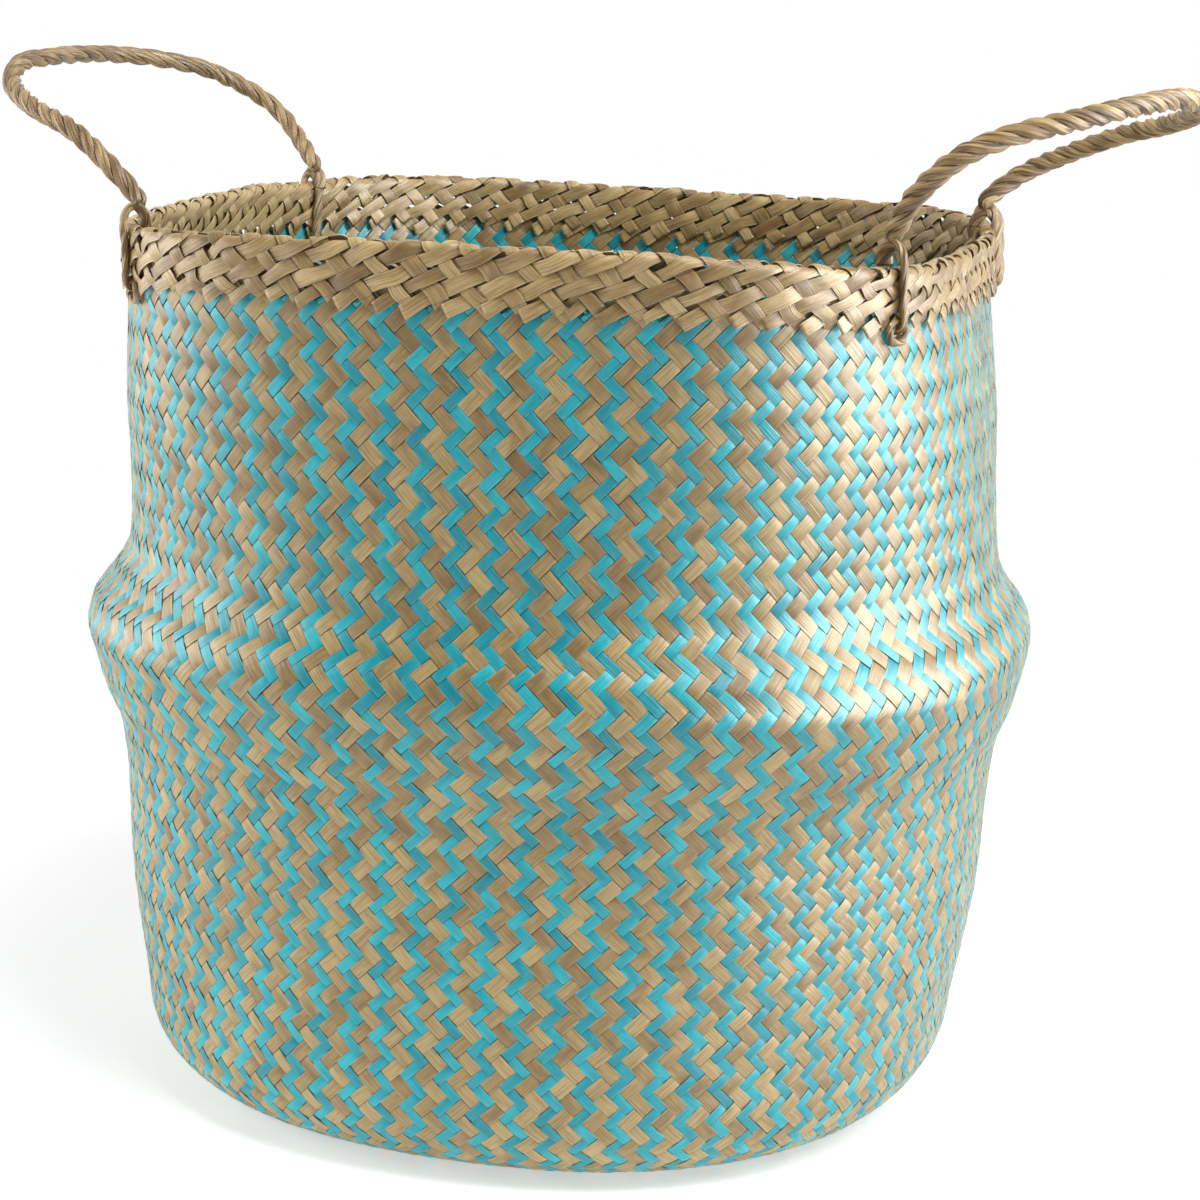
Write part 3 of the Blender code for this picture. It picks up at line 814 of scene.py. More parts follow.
LEFT_ROPE_FIBRE = LeafFinish(
    "left_rope_fibre", deep=linear(132, 103, 62), usual=linear(184, 155, 107), pale=linear(212, 188, 142),
    edge=linear(212, 190, 150), edge_and_highlight_share=0.0, streak=linear(88, 64, 34), streak_share=0.90, tuck_shade_share=0.90,
    rough=(0.45, 0.65), ribs=16.0, relief=0.00035, gloss=0.5)
# The right rope's finish is a darker copy of the left one: painted shade for the right rope, its lashings and
# knots, which face the camera with the light behind them.
SHADED_RIGHT_ROPE_FIBRE = replace(
    LEFT_ROPE_FIBRE, name="right_rope_fibre_shaded", deep=linear(108, 80, 44), usual=linear(160, 129, 80),
    pale=linear(192, 164, 114), edge=linear(200, 172, 126), streak=linear(74, 52, 26))


# The plaited body


@dataclass
class PlaitedBody:
    """Wall of the basket: 164 strips each way in a twill that shows as zigzag columns.

    Attributes:
        skin: Surface that the strips lie on.
        finishes: Materials of the two leaves.
        strips_each_way: Strips of one lay.
        turn_shift: Strips by which the plait is turned from +X.
        level_shift: Rows by which it is raised.
        ring_steps: Rows from the middle of a strip's visible length at which rings stand.
        ring_margin: Least distance of a ring from a strip's end, in rows.
        thickness: Thickness of a strip.
        shares: Widths of the two leaves.
        tops: Heights at which the strips of the two leaves end, under the border.
        width_spread: How much strips differ in width.
        width_wander: How much a strip's width changes along it.
        drift: How far a strip strays from its line.
        swell: How far it strays from the surface.
        roll: How far it leans.
        seed: Seed of all that.
    """

    skin: BasketSkin
    finishes: dict[Leaf, bpy.types.Material]
    strips_each_way: int = 164
    turn_shift: float = 1.34
    level_shift: float = -1.4
    ring_steps: tuple = (-1.24, -0.86, -0.30, 0.30, 0.86, 1.24, 1.70, 2.30)
    ring_margin: float = 0.2
    thickness: float = 0.00046
    shares: LeafShares = LeafShares(dyed=0.83, natural=1.135)
    tops: tuple = ((Leaf.DYED, 0.3480), (Leaf.NATURAL, 0.3610))
    width_spread: float = 0.05
    width_wander: float = 0.06
    drift: float = 0.00016
    swell: float = 0.00012
    roll: float = 0.05
    seed: int = 11

    def _rings(self, lay: Lay, phase: float, low: float, high: float) -> Array:
        """Rows at which a strip needs a ring: closest together where it dips under another.

        Args:
            lay: Family of the strip.
            phase: How far its crossings lie along it.
            low: Row at which it begins.
            high: Row at which it ends.

        Returns:
            The rows.
        """
        centre = (0.5 if lay is Lay.RISING else 2.5) + phase
        periods = 4.0 * np.arange(math.floor(low / 4.0) - 1, math.ceil(high / 4.0) + 1)
        rows = np.sort((periods[:, None] + centre + np.array(self.ring_steps)).ravel())
        inner = rows[(rows > low + self.ring_margin) & (rows < high - self.ring_margin)]
        return np.concatenate([[low], inner, [high]])

    def build(self) -> list[bpy.types.Object]:
        """Lay all strips, as one piece for each leaf and lay.

        Returns:
            The finished pieces.
        """
        dice = np.random.default_rng(self.seed)
        count = self.strips_each_way
        twill = Plait(place=lambda turn, row: self.skin.place(turn / count, row + self.level_shift),
                      pitch=lambda row: self.skin.pitch(row + self.level_shift, count),
                      row=lambda row: self.skin.unit(row + self.level_shift),
                      outline=SPLIT_LEAF, thickness=self.thickness)
        low = float(self.skin.levels[2]) - self.level_shift
        pieces = []
        for leaf, top in self.tops:
            high = float(self.skin.level_at(top)) - self.level_shift
            phase = self.shares.phase(leaf)
            numbers = strip_numbers(leaf, count) + self.turn_shift
            strips = len(numbers)
            for lay in Lay:
                rows = self._rings(lay, phase, low, high)
                rings = len(rows)
                rows = np.broadcast_to(rows, (strips, rings))
                gap = twill.pitch(rows) * twill.row(rows) / np.hypot(0.5 * twill.pitch(rows), twill.row(rows))
                wander = self.width_wander * slow_noise(dice, strips, rings, 26)
                widths = 0.5 * self.shares.width(leaf) * gap * (
                    1.0 + self.width_spread * dice.normal(0, 1, (strips, 1)) + wander)
                run = StripRun(lay, numbers, rows, widths, drift=self.drift * slow_noise(dice, strips, rings, 30),
                               swell=self.swell * slow_noise(dice, strips, rings, 34),
                               roll=self.roll * slow_noise(dice, strips, rings, 40), phase=phase)
                piece = twill.weave(f"plait_{leaf.value}_{lay.name.lower()}", run, dice)
                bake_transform(piece)
                pieces.append(dress(piece, self.finishes[leaf], "plaited_seagrass", "lower_body", "shoulder_fold",
                                    "upper_wall"))
        return pieces


@dataclass
class PlaitedBase:
    """Flat base: the same twill, with strips crossing squarely.

    Attributes:
        sizes: Sizes of the basket.
        finishes: Materials of the two leaves.
        unit: Height of a row and half the distance between strips.
        strips: Strips of one lay, of which those that cross the base are laid.
        rings: Rings along a strip.
        middle_height: Height of the middle of the plait.
        thickness: Thickness of a strip.
        shares: Widths of the two leaves.
        overlap: How far the base reaches under the wall's first strips.
        shortest: Length below which a strip is left out.
        width_wander: How much a strip's width changes along it.
        drift: How far a strip strays from its line.
        swell: How far it strays from the level.
        wander_knots: Turning points of that along a strip.
        seed: Seed of all that.
    """

    sizes: BasketSizes
    finishes: dict[Leaf, bpy.types.Material]
    unit: float = 0.00345
    strips: int = 90
    rings: int = 120
    middle_height: float = 0.0019
    thickness: float = 0.00046
    shares: LeafShares = LeafShares(dyed=0.84, natural=1.15)
    overlap: float = 0.0035
    shortest: float = 0.02
    width_wander: float = 0.06
    drift: float = 0.0002
    swell: float = 0.0001
    wander_knots: int = 14
    seed: int = 23

    def _inside(self, x: Array, y: Array) -> Array:
        """Whether points of the floor lie on the flat of the base."""
        inset = self.sizes.corner_radius - self.overlap
        _, half_length, half_width, squareness = self.sizes.foot
        return (np.abs(x / (half_length - inset)) ** squareness
                + np.abs(y / (half_width - inset)) ** squareness) < 1.0

    def _runs(self, lay: Lay, numbers: Array) -> tuple[Array, Array]:
        """Strips that cross the base.

        Args:
            lay: Family of the strips.
            numbers: Numbers to try.

        Returns:
            The numbers of those that cross it, and the rows at which each begins and ends.
        """
        rows = np.linspace(-70.0, 70.0, 4001)
        kept, spans = [], []
        for number in numbers:
            x = (number + lay.value * 0.5 * rows) * 2.0 * self.unit
            hit = rows[self._inside(x, rows * self.unit)]
            if len(hit) and (hit[-1] - hit[0]) * self.unit > self.shortest:
                kept.append(number)
                spans.append((hit[0], hit[-1]))
        return np.array(kept), np.array(spans)

    def _place(self, turn: Array, row: Array) -> tuple[Array, Array]:
        """Points and normals of the flat base."""
        flat = np.stack([turn * 2.0 * self.unit, row * self.unit, np.full_like(row, self.middle_height)], axis=-1)
        return flat, np.broadcast_to(np.array([0.0, 0.0, 1.0]), flat.shape)

    def build(self) -> list[bpy.types.Object]:
        """Lay the base's strips, as one piece for each leaf and lay.

        Returns:
            The finished pieces.
        """
        dice = np.random.default_rng(self.seed)
        twill = Plait(place=self._place, pitch=lambda row: np.full_like(row, 2.0 * self.unit),
                      row=lambda row: np.full_like(row, self.unit), outline=SPLIT_LEAF, thickness=self.thickness)
        pieces = []
        for leaf in Leaf:
            for lay in Lay:
                numbers, spans = self._runs(lay, strip_numbers(leaf, self.strips) - (self.strips // 2 - 1))
                rows = spans[:, :1] + (spans[:, 1:] - spans[:, :1]) * np.linspace(0.0, 1.0, self.rings)
                wander, drift, swell = (reach * slow_noise(dice, len(numbers), self.rings, self.wander_knots)
                                        for reach in (self.width_wander, self.drift, self.swell))
                widths = 0.5 * self.shares.width(leaf) * math.sqrt(2.0) * self.unit * (1.0 + wander)
                run = StripRun(lay, numbers, rows, widths, drift, swell, np.zeros_like(rows),
                               self.shares.phase(leaf))
                piece = twill.weave(f"base_{leaf.value}_{lay.name.lower()}", run, dice)
                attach(piece, "root")
                pieces.append(dress(piece, self.finishes[leaf], "plaited_seagrass", "lower_body"))
        return pieces


# The folded border


@dataclass(frozen=True)
class BorderLay:
    """One family of border strips.

    Attributes:
        lay: Which way its strips climb outside.
        width: Width of a strip.
        ends: Distance of the strips' ends from the border's foot, outside and inside.
        shown: Half length of what shows where a strip lies on top, in crossings.
    """

    lay: Lay
    width: float
    ends: tuple
    shown: float


RISING_LEAVES = BorderLay(Lay.RISING, 0.0056, (0.0041, 0.0064), 0.73)
FALLING_LEAVES = BorderLay(Lay.FALLING, 0.0057, (0.0052, 0.0075), 0.555)


@dataclass
class FoldedBorder:
    """Broad natural strips plaited plainly, folded over the rim from tooth to tooth.

    Attributes:
        skin: Surface of the wall that the border covers.
        finish: Material of the strips.
        middle_offset: Distance of the strips from the middle of the wall.
        first_row: Distance of row 0 from the border's foot.
        tooth_start: Distance from the foot at which a tooth is centred on its column.
        row_count: Rows from the outer teeth over the fold to the inner ones.
        rising_run: Columns that a rising strip passes per row.
        thickness: Thickness of a strip.
        pitch_height: Height at which the columns are as wide as the plait takes them to be.
        shingle: Slope by which each rising strip overlaps the next.
        crest_rows: Reach of the fold's crest, in rows.
        crest_roll: Slope of the rising strips on the crest, which differs from strip to strip by crest_spread.
        crest_swell: How far strips may stand up on the crest.
        tooth_bend: How far a tooth bends aside over its last tooth_rows rows.
        depth_columns: Columns at which the border's depth is given.
        depth_shares: Its depth there, as a share of the usual.
        unrest_columns: Columns at which the strips' unrest is given.
        unrest_shares: How uneven the strips are there.
        trim: How much the strips' ends differ.
        width_spread: How much strips differ in width.
        width_wander: How much a strip's width changes along it.
        unrest_loss: How much narrower unruly strips are.
        drift: How far a strip strays from its line.
        swell: How far it strays from the surface.
        roll: How far it leans.
        lit_middle: Column round which the inner ends of the strips are painted palest: painted light from the right
            falling on the inside of the left wall.
        lit_reach: How far that painted light reaches, in columns.
        lit_gain: How much paler it makes the strips.
        ring_spacing: Distance between rings.
        knots: Turning points along a strip.
        seed: Seed of all that.
    """

    skin: BasketSkin
    finish: bpy.types.Material
    middle_offset: float = 0.00235
    first_row: float = 0.0044
    tooth_start: float = 0.0028
    row_count: int = 10
    rising_run: float = 0.708
    thickness: float = 0.0006
    pitch_height: float = 0.355
    shingle: float = 0.11
    crest_rows: float = 1.1
    crest_roll: float = 0.14
    crest_spread: float = 0.38
    crest_swell: float = 0.0007
    tooth_bend: float = 0.0016
    tooth_rows: float = 1.6
    depth_columns: tuple = (0, 7, 12, 37, 45, 52, 58, 70, 74, 82)
    depth_shares: tuple = (0.80, 0.84, 1.0, 1.0, 0.92, 0.90, 0.93, 0.93, 0.84, 0.80)
    unrest_columns: tuple = (0, 8, 14, 42, 47, 55, 60, 70, 74, 82)
    unrest_shares: tuple = (2.0, 1.9, 1.2, 1.1, 1.8, 1.7, 1.25, 1.3, 1.9, 2.0)
    trim: float = 0.0008
    width_spread: float = 0.07
    width_wander: float = 0.09
    unrest_loss: float = 0.09
    drift: float = 0.0006
    swell: float = 0.00016
    roll: float = 0.05
    lit_middle: float = 41.0
    lit_reach: float = 8.0
    lit_gain: float = 0.75
    ring_spacing: float = 0.0014
    knots: int = 12
    seed: int = 37

    def __post_init__(self) -> None:
        """Measure the path over the fold and the pitch of the columns."""
        sizes = self.skin.sizes
        self.count = sizes.columns
        self.side_length = sizes.roll_height - sizes.border_foot
        self.roll_length = math.pi * self.middle_offset
        path = 2.0 * self.side_length + self.roll_length
        self.row_height = (path - 2.0 * self.first_row) / self.row_count
        self.pitch = float(self.skin.pitch(self.skin.level_at(self.pitch_height), self.count))

    def _place(self, turn: Array, row: Array) -> tuple[Array, Array]:
        """Points of the fold and its outward directions.

        Args:
            turn: Columns round the rim.
            row: Rows from the outer teeth to the inner ones.

        Returns:
            Points and directions, each with a last axis of three.
        """
        walked = self.first_row + row * self.row_height
        past_roll = walked - self.side_length - self.roll_length
        angle = np.clip((walked - self.side_length) / self.middle_offset, 0.0, math.pi)
        drop = np.maximum(self.side_length - walked, 0.0) + np.maximum(past_roll, 0.0)
        depth = np.interp(turn % self.count, self.depth_columns, self.depth_shares)
        level = self.skin.level_at(self.skin.sizes.roll_height - drop * depth)
        middle, normal = self.skin.place(turn / self.count, level)
        middle[..., 2] += self.skin.rise(turn)
        normal = normal * np.array([1.0, 1.0, 0.0])
        normal /= np.linalg.norm(normal, axis=-1, keepdims=True)
        out = normal * np.cos(angle)[..., None]
        out[..., 2] += np.sin(angle)
        return middle + out * self.middle_offset, out

    def _run(self, leaves: BorderLay, dice: np.random.Generator) -> tuple[StripRun, Array]:
        """Strips of one family.

        Args:
            leaves: The family.
            dice: Seeded source of their unevenness.

        Returns:
            The strips, and the painted light added to the tone of each.
        """
        count, rising = self.count, leaves.lay is Lay.RISING
        passed = self.rising_run if rising else 1.0 - self.rising_run
        low = (leaves.ends[0] - self.first_row) / self.row_height
        high = self.row_count - (leaves.ends[1] - self.first_row) / self.row_height
        rings = int((high - low) * math.hypot(passed * self.pitch, self.row_height) / self.ring_spacing)
        trim = self.trim / self.row_height * dice.normal(0, 1, (count, 2))
        ease = np.linspace(0.0, 1.0, rings)
        rows = (low + trim[:, :1]) * (1.0 - ease) + (high + trim[:, 1:]) * ease
        lean = 0.45 * 0.5 * RISING_LEAVES.width / self.pitch
        start = 0.5 - lean - self.rising_run * (self.tooth_start - self.first_row) / self.row_height
        numbers = np.arange(count) + start
        columns = (numbers[:, None] + leaves.lay.value * passed * rows) % count
        unrest = np.interp(columns, self.unrest_columns, self.unrest_shares)
        uneven = self.width_spread * dice.normal(0, 1, (count, 1))
        uneven = uneven + self.width_wander * slow_noise(dice, count, rings, self.knots)
        widths = 0.5 * leaves.width * (1.0 + unrest * uneven - self.unrest_loss * (unrest - 1.0))
        drift = self.drift * unrest * slow_noise(dice, count, rings, self.knots)
        crest = np.exp(-((rows - 0.5 * self.row_count) / self.crest_rows) ** 2)
        if rising:
            free = (np.clip(1.0 - (rows - low) / self.tooth_rows, 0.0, 1.0) ** 2
                    - np.clip(1.0 - (high - rows) / self.tooth_rows, 0.0, 1.0) ** 2)
            drift = drift - self.tooth_bend * free * dice.uniform(0.3, 1.5, (count, 1))
        swell = self.swell * slow_noise(dice, count, rings, self.knots + 2)
        swell = swell + self.crest_swell * crest * dice.uniform(0, 1, (count, 1))
        roll = self.roll * unrest * slow_noise(dice, count, rings, self.knots)
        if rising:
            roll = roll - self.shingle + crest * (self.crest_roll
                                                  + self.crest_spread * dice.normal(0, 1, (count, 1)))
        # Painted light: strips whose inner ends lie round the middle column of the inside of the left wall are made
        # paler, as if lit from the right; their outer parts get paler too.
        paler = self.lit_gain * np.exp(-((columns[:, -1] - self.lit_middle) / self.lit_reach) ** 2)
        return StripRun(leaves.lay, numbers, rows, widths, drift, swell, roll, shown=leaves.shown), paler

    def build(self) -> list[bpy.types.Object]:
        """Lay both families of border strips.

        Returns:
            The finished pieces.
        """
        dice = np.random.default_rng(self.seed)
        plait = Plait(place=self._place, pitch=lambda row: np.full_like(row, self.pitch),
                      row=lambda row: np.full_like(row, self.row_height), outline=BROAD_LEAF,
                      thickness=self.thickness, rising_run=self.rising_run, repeat=2, lift=0.00050, steepness=1.4)
        pieces = []
        for leaves in (RISING_LEAVES, FALLING_LEAVES):
            run, paler = self._run(leaves, dice)
            piece = plait.weave(f"border_{leaves.lay.name.lower()}", run, dice, paler)
            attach(piece, "upper")
            pieces.append(dress(piece, self.finish, "natural_seagrass", "rim_border"))
        return pieces


# Rope handles, lashings and knots


def round_outline(sides: int, ridges: int = 0, depth: float = 0.0) -> Outline:
    """Round outline of a strand, with a few ridges of the fibres that lie in it.

    Args:
        sides: Points round the outline.
        ridges: Ridges round it.
        depth: Depth of a ridge as a share of the radius.

    Returns:
        The outline, in shares of the radius.
    """
    angles = [2.0 * math.pi * i / sides for i in range(sides)]
    radii = [1.0 - depth * (0.5 - 0.5 * math.cos(ridges * a)) for a in angles]
    return Outline(tuple(r * math.cos(a) for r, a in zip(radii, angles)),
                   tuple(r * math.sin(a) for r, a in zip(radii, angles)), (), True)


def smooth_route(stops: Array, spacing: float) -> Array:
    """Even points along a Catmull-Rom curve through the stops."""
    padded = np.vstack([2.0 * stops[0] - stops[1], stops, 2.0 * stops[-1] - stops[-2]])
    t = np.linspace(0.0, 1.0, 24, endpoint=False)[:, None]
    dense = []
    for a, b, c, d in zip(padded, padded[1:], padded[2:], padded[3:]):
        dense.append(0.5 * (2.0 * b + (c - a) * t + (2.0 * a - 5.0 * b + 4.0 * c - d) * t ** 2
                            + (3.0 * b - a - 3.0 * c + d) * t ** 3))
    dense = np.vstack(dense + [stops[-1:]])
    walked = np.concatenate([[0.0], np.cumsum(np.linalg.norm(np.diff(dense, axis=0), axis=1))])
    even = np.linspace(0.0, walked[-1], max(3, int(walked[-1] / spacing)) + 1)
    return np.stack([np.interp(even, walked, dense[:, i]) for i in range(3)], axis=1)


def route_frames(route: Array) -> tuple[Array, Array]:
    """Two directions across a route at each point, carried along it without twist.

    Args:
        route: Points along the route.

    Returns:
        The side and up directions, so that side, up and the run are right-handed.
    """
    run = np.gradient(route, axis=0)
    run /= np.linalg.norm(run, axis=1, keepdims=True)
    side = np.cross([0.0, 0.0, 1.0], run[0])
    if np.linalg.norm(side) < 1e-3:
        side = np.cross([1.0, 0.0, 0.0], run[0])
    sides = []
    for direction in run:
        side = side - direction * side.dot(direction)
        side /= np.linalg.norm(side)
        sides.append(side)
    sides = np.array(sides)
    return sides, np.cross(run, sides)


@dataclass
class TwistedRope:
    """Rope of a few plies twisted round each other.

    Attributes:
        radius: Radius of the whole rope.
        plies: How many plies.
        lay: Stops along the rope, each a share of its length and the length of one full turn there.
        ply_share: Radius of a ply as a share of the rope's.
        groove: Angle from the outermost line of a ply at which it meets its neighbour.
        flatness: Thickness as a share of the width, for a rope that is pressed flat.
    """

    radius: float
    plies: int
    lay: tuple
    ply_share: float = 0.645
    groove: float = 1.54
    flatness: float = 1.0
    fibre_turn: float = 0.05
    outline: Outline = field(default_factory=lambda: round_outline(28, 7, 0.15))

    def build(self, name: str, route: Array, tapers: Array, seed: int) -> bpy.types.Object:
        """Make the rope along a route.

        Args:
            name: Name of the piece.
            route: Points along the middle.
            tapers: Share of the full radius at each point.
            seed: Seed of its unevenness.

        Returns:
            The rope as one object.
        """
        dice = np.random.default_rng(seed)
        sides, ups = route_frames(route)
        ups = ups * self.flatness
        steps = np.linalg.norm(np.diff(route, axis=0), axis=1)
        walked = np.concatenate([[0.0], np.cumsum(steps)])
        rings = len(route)
        wobble = slow_noise(dice, 1, rings, max(4, rings // 24))[0]
        lengths = np.interp(walked / walked[-1], [stop[0] for stop in self.lay], [stop[1] for stop in self.lay])
        turns = np.concatenate([[0.0], np.cumsum(steps / (0.5 * (lengths[1:] + lengths[:-1])))])
        strands, covers = [], []
        for ply in range(self.plies):
            angle = 2.0 * math.pi * (ply / self.plies + turns) + 0.4 * wobble
            fat = 1.0 + 0.07 * slow_noise(dice, 1, rings, max(4, rings // 12))[0]
            ply_radius = self.ply_share * self.radius * fat * tapers
            offset = (self.radius * tapers - ply_radius)
            middle = route + (sides * np.cos(angle)[:, None] + ups * np.sin(angle)[:, None]) * offset[:, None]
            twist = angle - 2.0 * math.pi * walked / self.fibre_turn
            across = np.array(self.outline.across)[None, :]
            lift = np.array(self.outline.lift)[None, :]
            a = across * np.cos(twist)[:, None] - lift * np.sin(twist)[:, None]
            b = across * np.sin(twist)[:, None] + lift * np.cos(twist)[:, None]
            ring = sides[:, None, :] * a[..., None] + ups[:, None, :] * b[..., None]
            turned = np.arctan2(b, a) - angle[:, None]
            covers.append(np.abs((turned + math.pi) % (2.0 * math.pi) - math.pi) / self.groove)
            strands.append(middle[:, None, :] + ring * ply_radius[:, None, None])
        points = np.array(strands)
        along = np.broadcast_to(walked, (self.plies, rings)) + dice.uniform(0, 2, (self.plies, 1))
        tones = dice.uniform(0, 1, self.plies)
        return StrandTemplate(self.outline, rings).lay(name, points, along, np.array(covers), tones)


@dataclass
class HandleFitting:
    """Where a handle stands: its columns at the rim and the route of its rope."""

    name: str
    front_column: int
    rear_column: int
    reach: float
    rise: float
    route: tuple
    rope_radius: float
    lay: tuple
    seed: int


LEFT_ROUTE = ((-1, 0, 0), (-.97, .31, .45), (-.82, .64, .64), (-.61, .88, .80), (-.35, .99, .95),
              (-.08, .99, .99), (.20, .99, 1.00), (.47, .95, .99), (.72, .79, .94), (.95, .57, .81),
              (1.08, .27, .48), (1, 0, 0))
RIGHT_ROUTE = ((-1, 0, 0), (-1.05, .08, .27), (-1.06, .24, .56), (-1.02, .42, .73), (-.91, .62, .84),
               (-.72, .82, .95), (-.40, .96, 1.00), (.02, 1.00, .94), (.42, .95, .84), (.75, .80, .72),
               (.94, .60, .61), (1.04, .35, .42), (1.06, .14, .22), (1, 0, 0))
LEFT_HANDLE = HandleFitting("left", 51, 34, 0.0784, 0.0475, LEFT_ROUTE, 0.0040,
                            ((0, .0250), (.20, .0270), (.36, .045), (.62, .050), (.80, .032), (1, .028)), 51)
RIGHT_HANDLE = HandleFitting("right", 74, 6, 0.0970, 0.0505, RIGHT_ROUTE, 0.0044,
                             ((0, .0240), (.35, .0260), (.45, .040), (.60, .040), (.70, .0245), (1, .0225)), 52)


@dataclass
class RopeHandle:
    """One rope loop with the lashings and eye knots at its two ends."""

    skin: BasketSkin
    fitting: HandleFitting
    finish: bpy.types.Material
    foot_drop: float = 0.0042
    foot_taper: float = 0.012
    ring_spacing: float = 0.0010
    strand_offset: float = 0.0046
    crown_lift: float = 0.0036
    eye_lift: float = 0.0024

    def _wall(self, column: int, height: float) -> tuple[Array, Array]:
        """Middle of the wall at a column and height, and the level way out of it."""
        sizes = self.skin.sizes
        level = np.array(self.skin.level_at(min(height, sizes.rim[0])))
        middle, normal = self.skin.place(np.array(column / sizes.columns), level)
        normal = normal * np.array([1.0, 1.0, 0.0])
        return np.array([middle[0], middle[1], height]), normal / np.linalg.norm(normal)

    def build(self) -> list[bpy.types.Object]:
        """Make the rope, two lashings and two knots.

        Returns:
            The finished pieces.
        """
        fit = self.fitting
        pieces = [self._rope()]
        for end, column in (("front", fit.front_column), ("rear", fit.rear_column)):
            label = f"{fit.name}_{end}"
            for piece, node in ((self._lashing(label, column), f"{label}_lashing"),
                                (self._knot(label, column), f"{label}_knot")):
                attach(piece, "upper")
                pieces.append(dress(piece, self.finish, "seagrass_rope", node))
        return pieces

    def _rope(self) -> bpy.types.Object:
        """Rope loop along the route of its solid."""
        fit, sizes = self.fitting, self.skin.sizes
        front = self._wall(fit.front_column, sizes.rim[0])[0]
        rear = self._wall(fit.rear_column, sizes.rim[0])[0]
        along = 0.5 * (rear - front)
        centre = 0.5 * (rear + front)
        outward = np.array([along[1], -along[0], 0.0])
        outward /= np.linalg.norm(outward)
        if outward.dot(centre) < 0.0:
            outward = -outward
        origin = np.array([centre[0], centre[1], sizes.axis_height])
        up = np.array([0.0, 0.0, fit.rise])
        stops = np.array([origin + along * s + outward * o * fit.reach + up * u for s, o, u in fit.route])
        foot = np.array([[0.0, 0.0, self.foot_drop]])
        stops = np.vstack([stops[:1] - foot, stops, stops[-1:] - foot])
        route = smooth_route(stops, self.ring_spacing)
        reach = np.arange(len(route)) * self.ring_spacing
        reach = np.minimum(reach, reach[::-1])
        tapers = 1.0 - 0.20 * np.clip(1.0 - reach / self.foot_taper, 0.0, 1.0) ** 1.5
        tapers[[0, -1]] *= 0.50
        tapers[[1, -2]] *= 0.82
        rope = TwistedRope(fit.rope_radius, 3, fit.lay)
        piece = rope.build(f"{fit.name}_rope", route, tapers, fit.seed)
        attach(piece, f"{fit.name}_handle")
        return dress(piece, self.finish, "seagrass_rope", f"{fit.name}_handle")

    def _lashing(self, label: str, column: int) -> bpy.types.Object:
        """Strand over the rim, down outside, in through the wall and up inside."""
        sizes = self.skin.sizes
        reach, corner = self.strand_offset, sizes.lashing_corner
        hole = sizes.hole_height + self.eye_lift
        knot_top = hole + sizes.knot_ring_radius + sizes.knot_strand_radius + 0.0003
        crown = reach + self.crown_lift
        flat = [(reach * math.cos(a), sizes.roll_height + crown * math.sin(a))
                for a in np.linspace(math.pi, 0.0, 9)]
        flat += [(reach, knot_top + 0.0047), (reach + 0.5 * sizes.lashing_bulge, knot_top)]
        for side, out in ((1.0, reach + 0.5 * sizes.lashing_bulge), (-1.0, reach)):
            turns = np.linspace(0.0, 0.5 * math.pi, 5)
            bend = [(side * (out - corner * (1.0 - math.cos(t))), hole + corner * (1.0 - math.sin(t)))
                    for t in turns]
            flat += bend if side > 0.0 else bend[::-1]
        stops = []
        for offset, height in flat + flat[:1]:
            middle, outward = self._wall(column, height)
            stops.append(middle + outward * offset)
        route = smooth_route(np.array(stops), 0.0009)
        tapers = 1.0 - 0.28 * np.exp(-((route[:, 2] - hole) / 0.0045) ** 2)
        rope = TwistedRope(1.68 * sizes.strand_radius, 3, ((0, 0.026), (1, 0.026)), 0.62, 1.10, 0.46,
                           outline=round_outline(16, 4, 0.14))
        return rope.build(f"{label}_lashing_strand", route, tapers, self.fitting.seed + column)

    def _knot(self, label: str, column: int) -> bpy.types.Object:
        """Eye of thinner strand round the place where the lashing enters the wall."""
        sizes = self.skin.sizes
        hole = sizes.hole_height + self.eye_lift
        middle, outward = self._wall(column, hole)
        above, below = (self._wall(column, hole + step)[0] for step in (0.0047, -0.0047))
        up_wall = (above - below) / np.linalg.norm(above - below)
        sideways = np.array([-outward[1], outward[0], 0.0])
        off_wall = np.cross(sideways, up_wall)
        stand_off = 0.5 * sizes.weave_thickness + 0.0003 + sizes.knot_strand_radius
        angles = np.linspace(0.0, 2.0 * math.pi, 61)
        wide = 1.62 * sizes.knot_ring_radius * np.sin(angles) * np.abs(np.sin(0.5 * angles)) ** 0.35
        high = 1.25 * sizes.knot_ring_radius * np.cos(angles) - 0.0004
        route = middle + off_wall * stand_off + sideways * wide[:, None] + up_wall * high[:, None]
        rope = TwistedRope(1.50 * sizes.knot_strand_radius, 2, ((0, 0.014), (1, 0.014)), 0.72, 1.45,
                           outline=round_outline(12, 3, 0.12))
        return rope.build(f"{label}_eye", route, np.ones(len(route)), self.fitting.seed + 2 * column)


# Studio


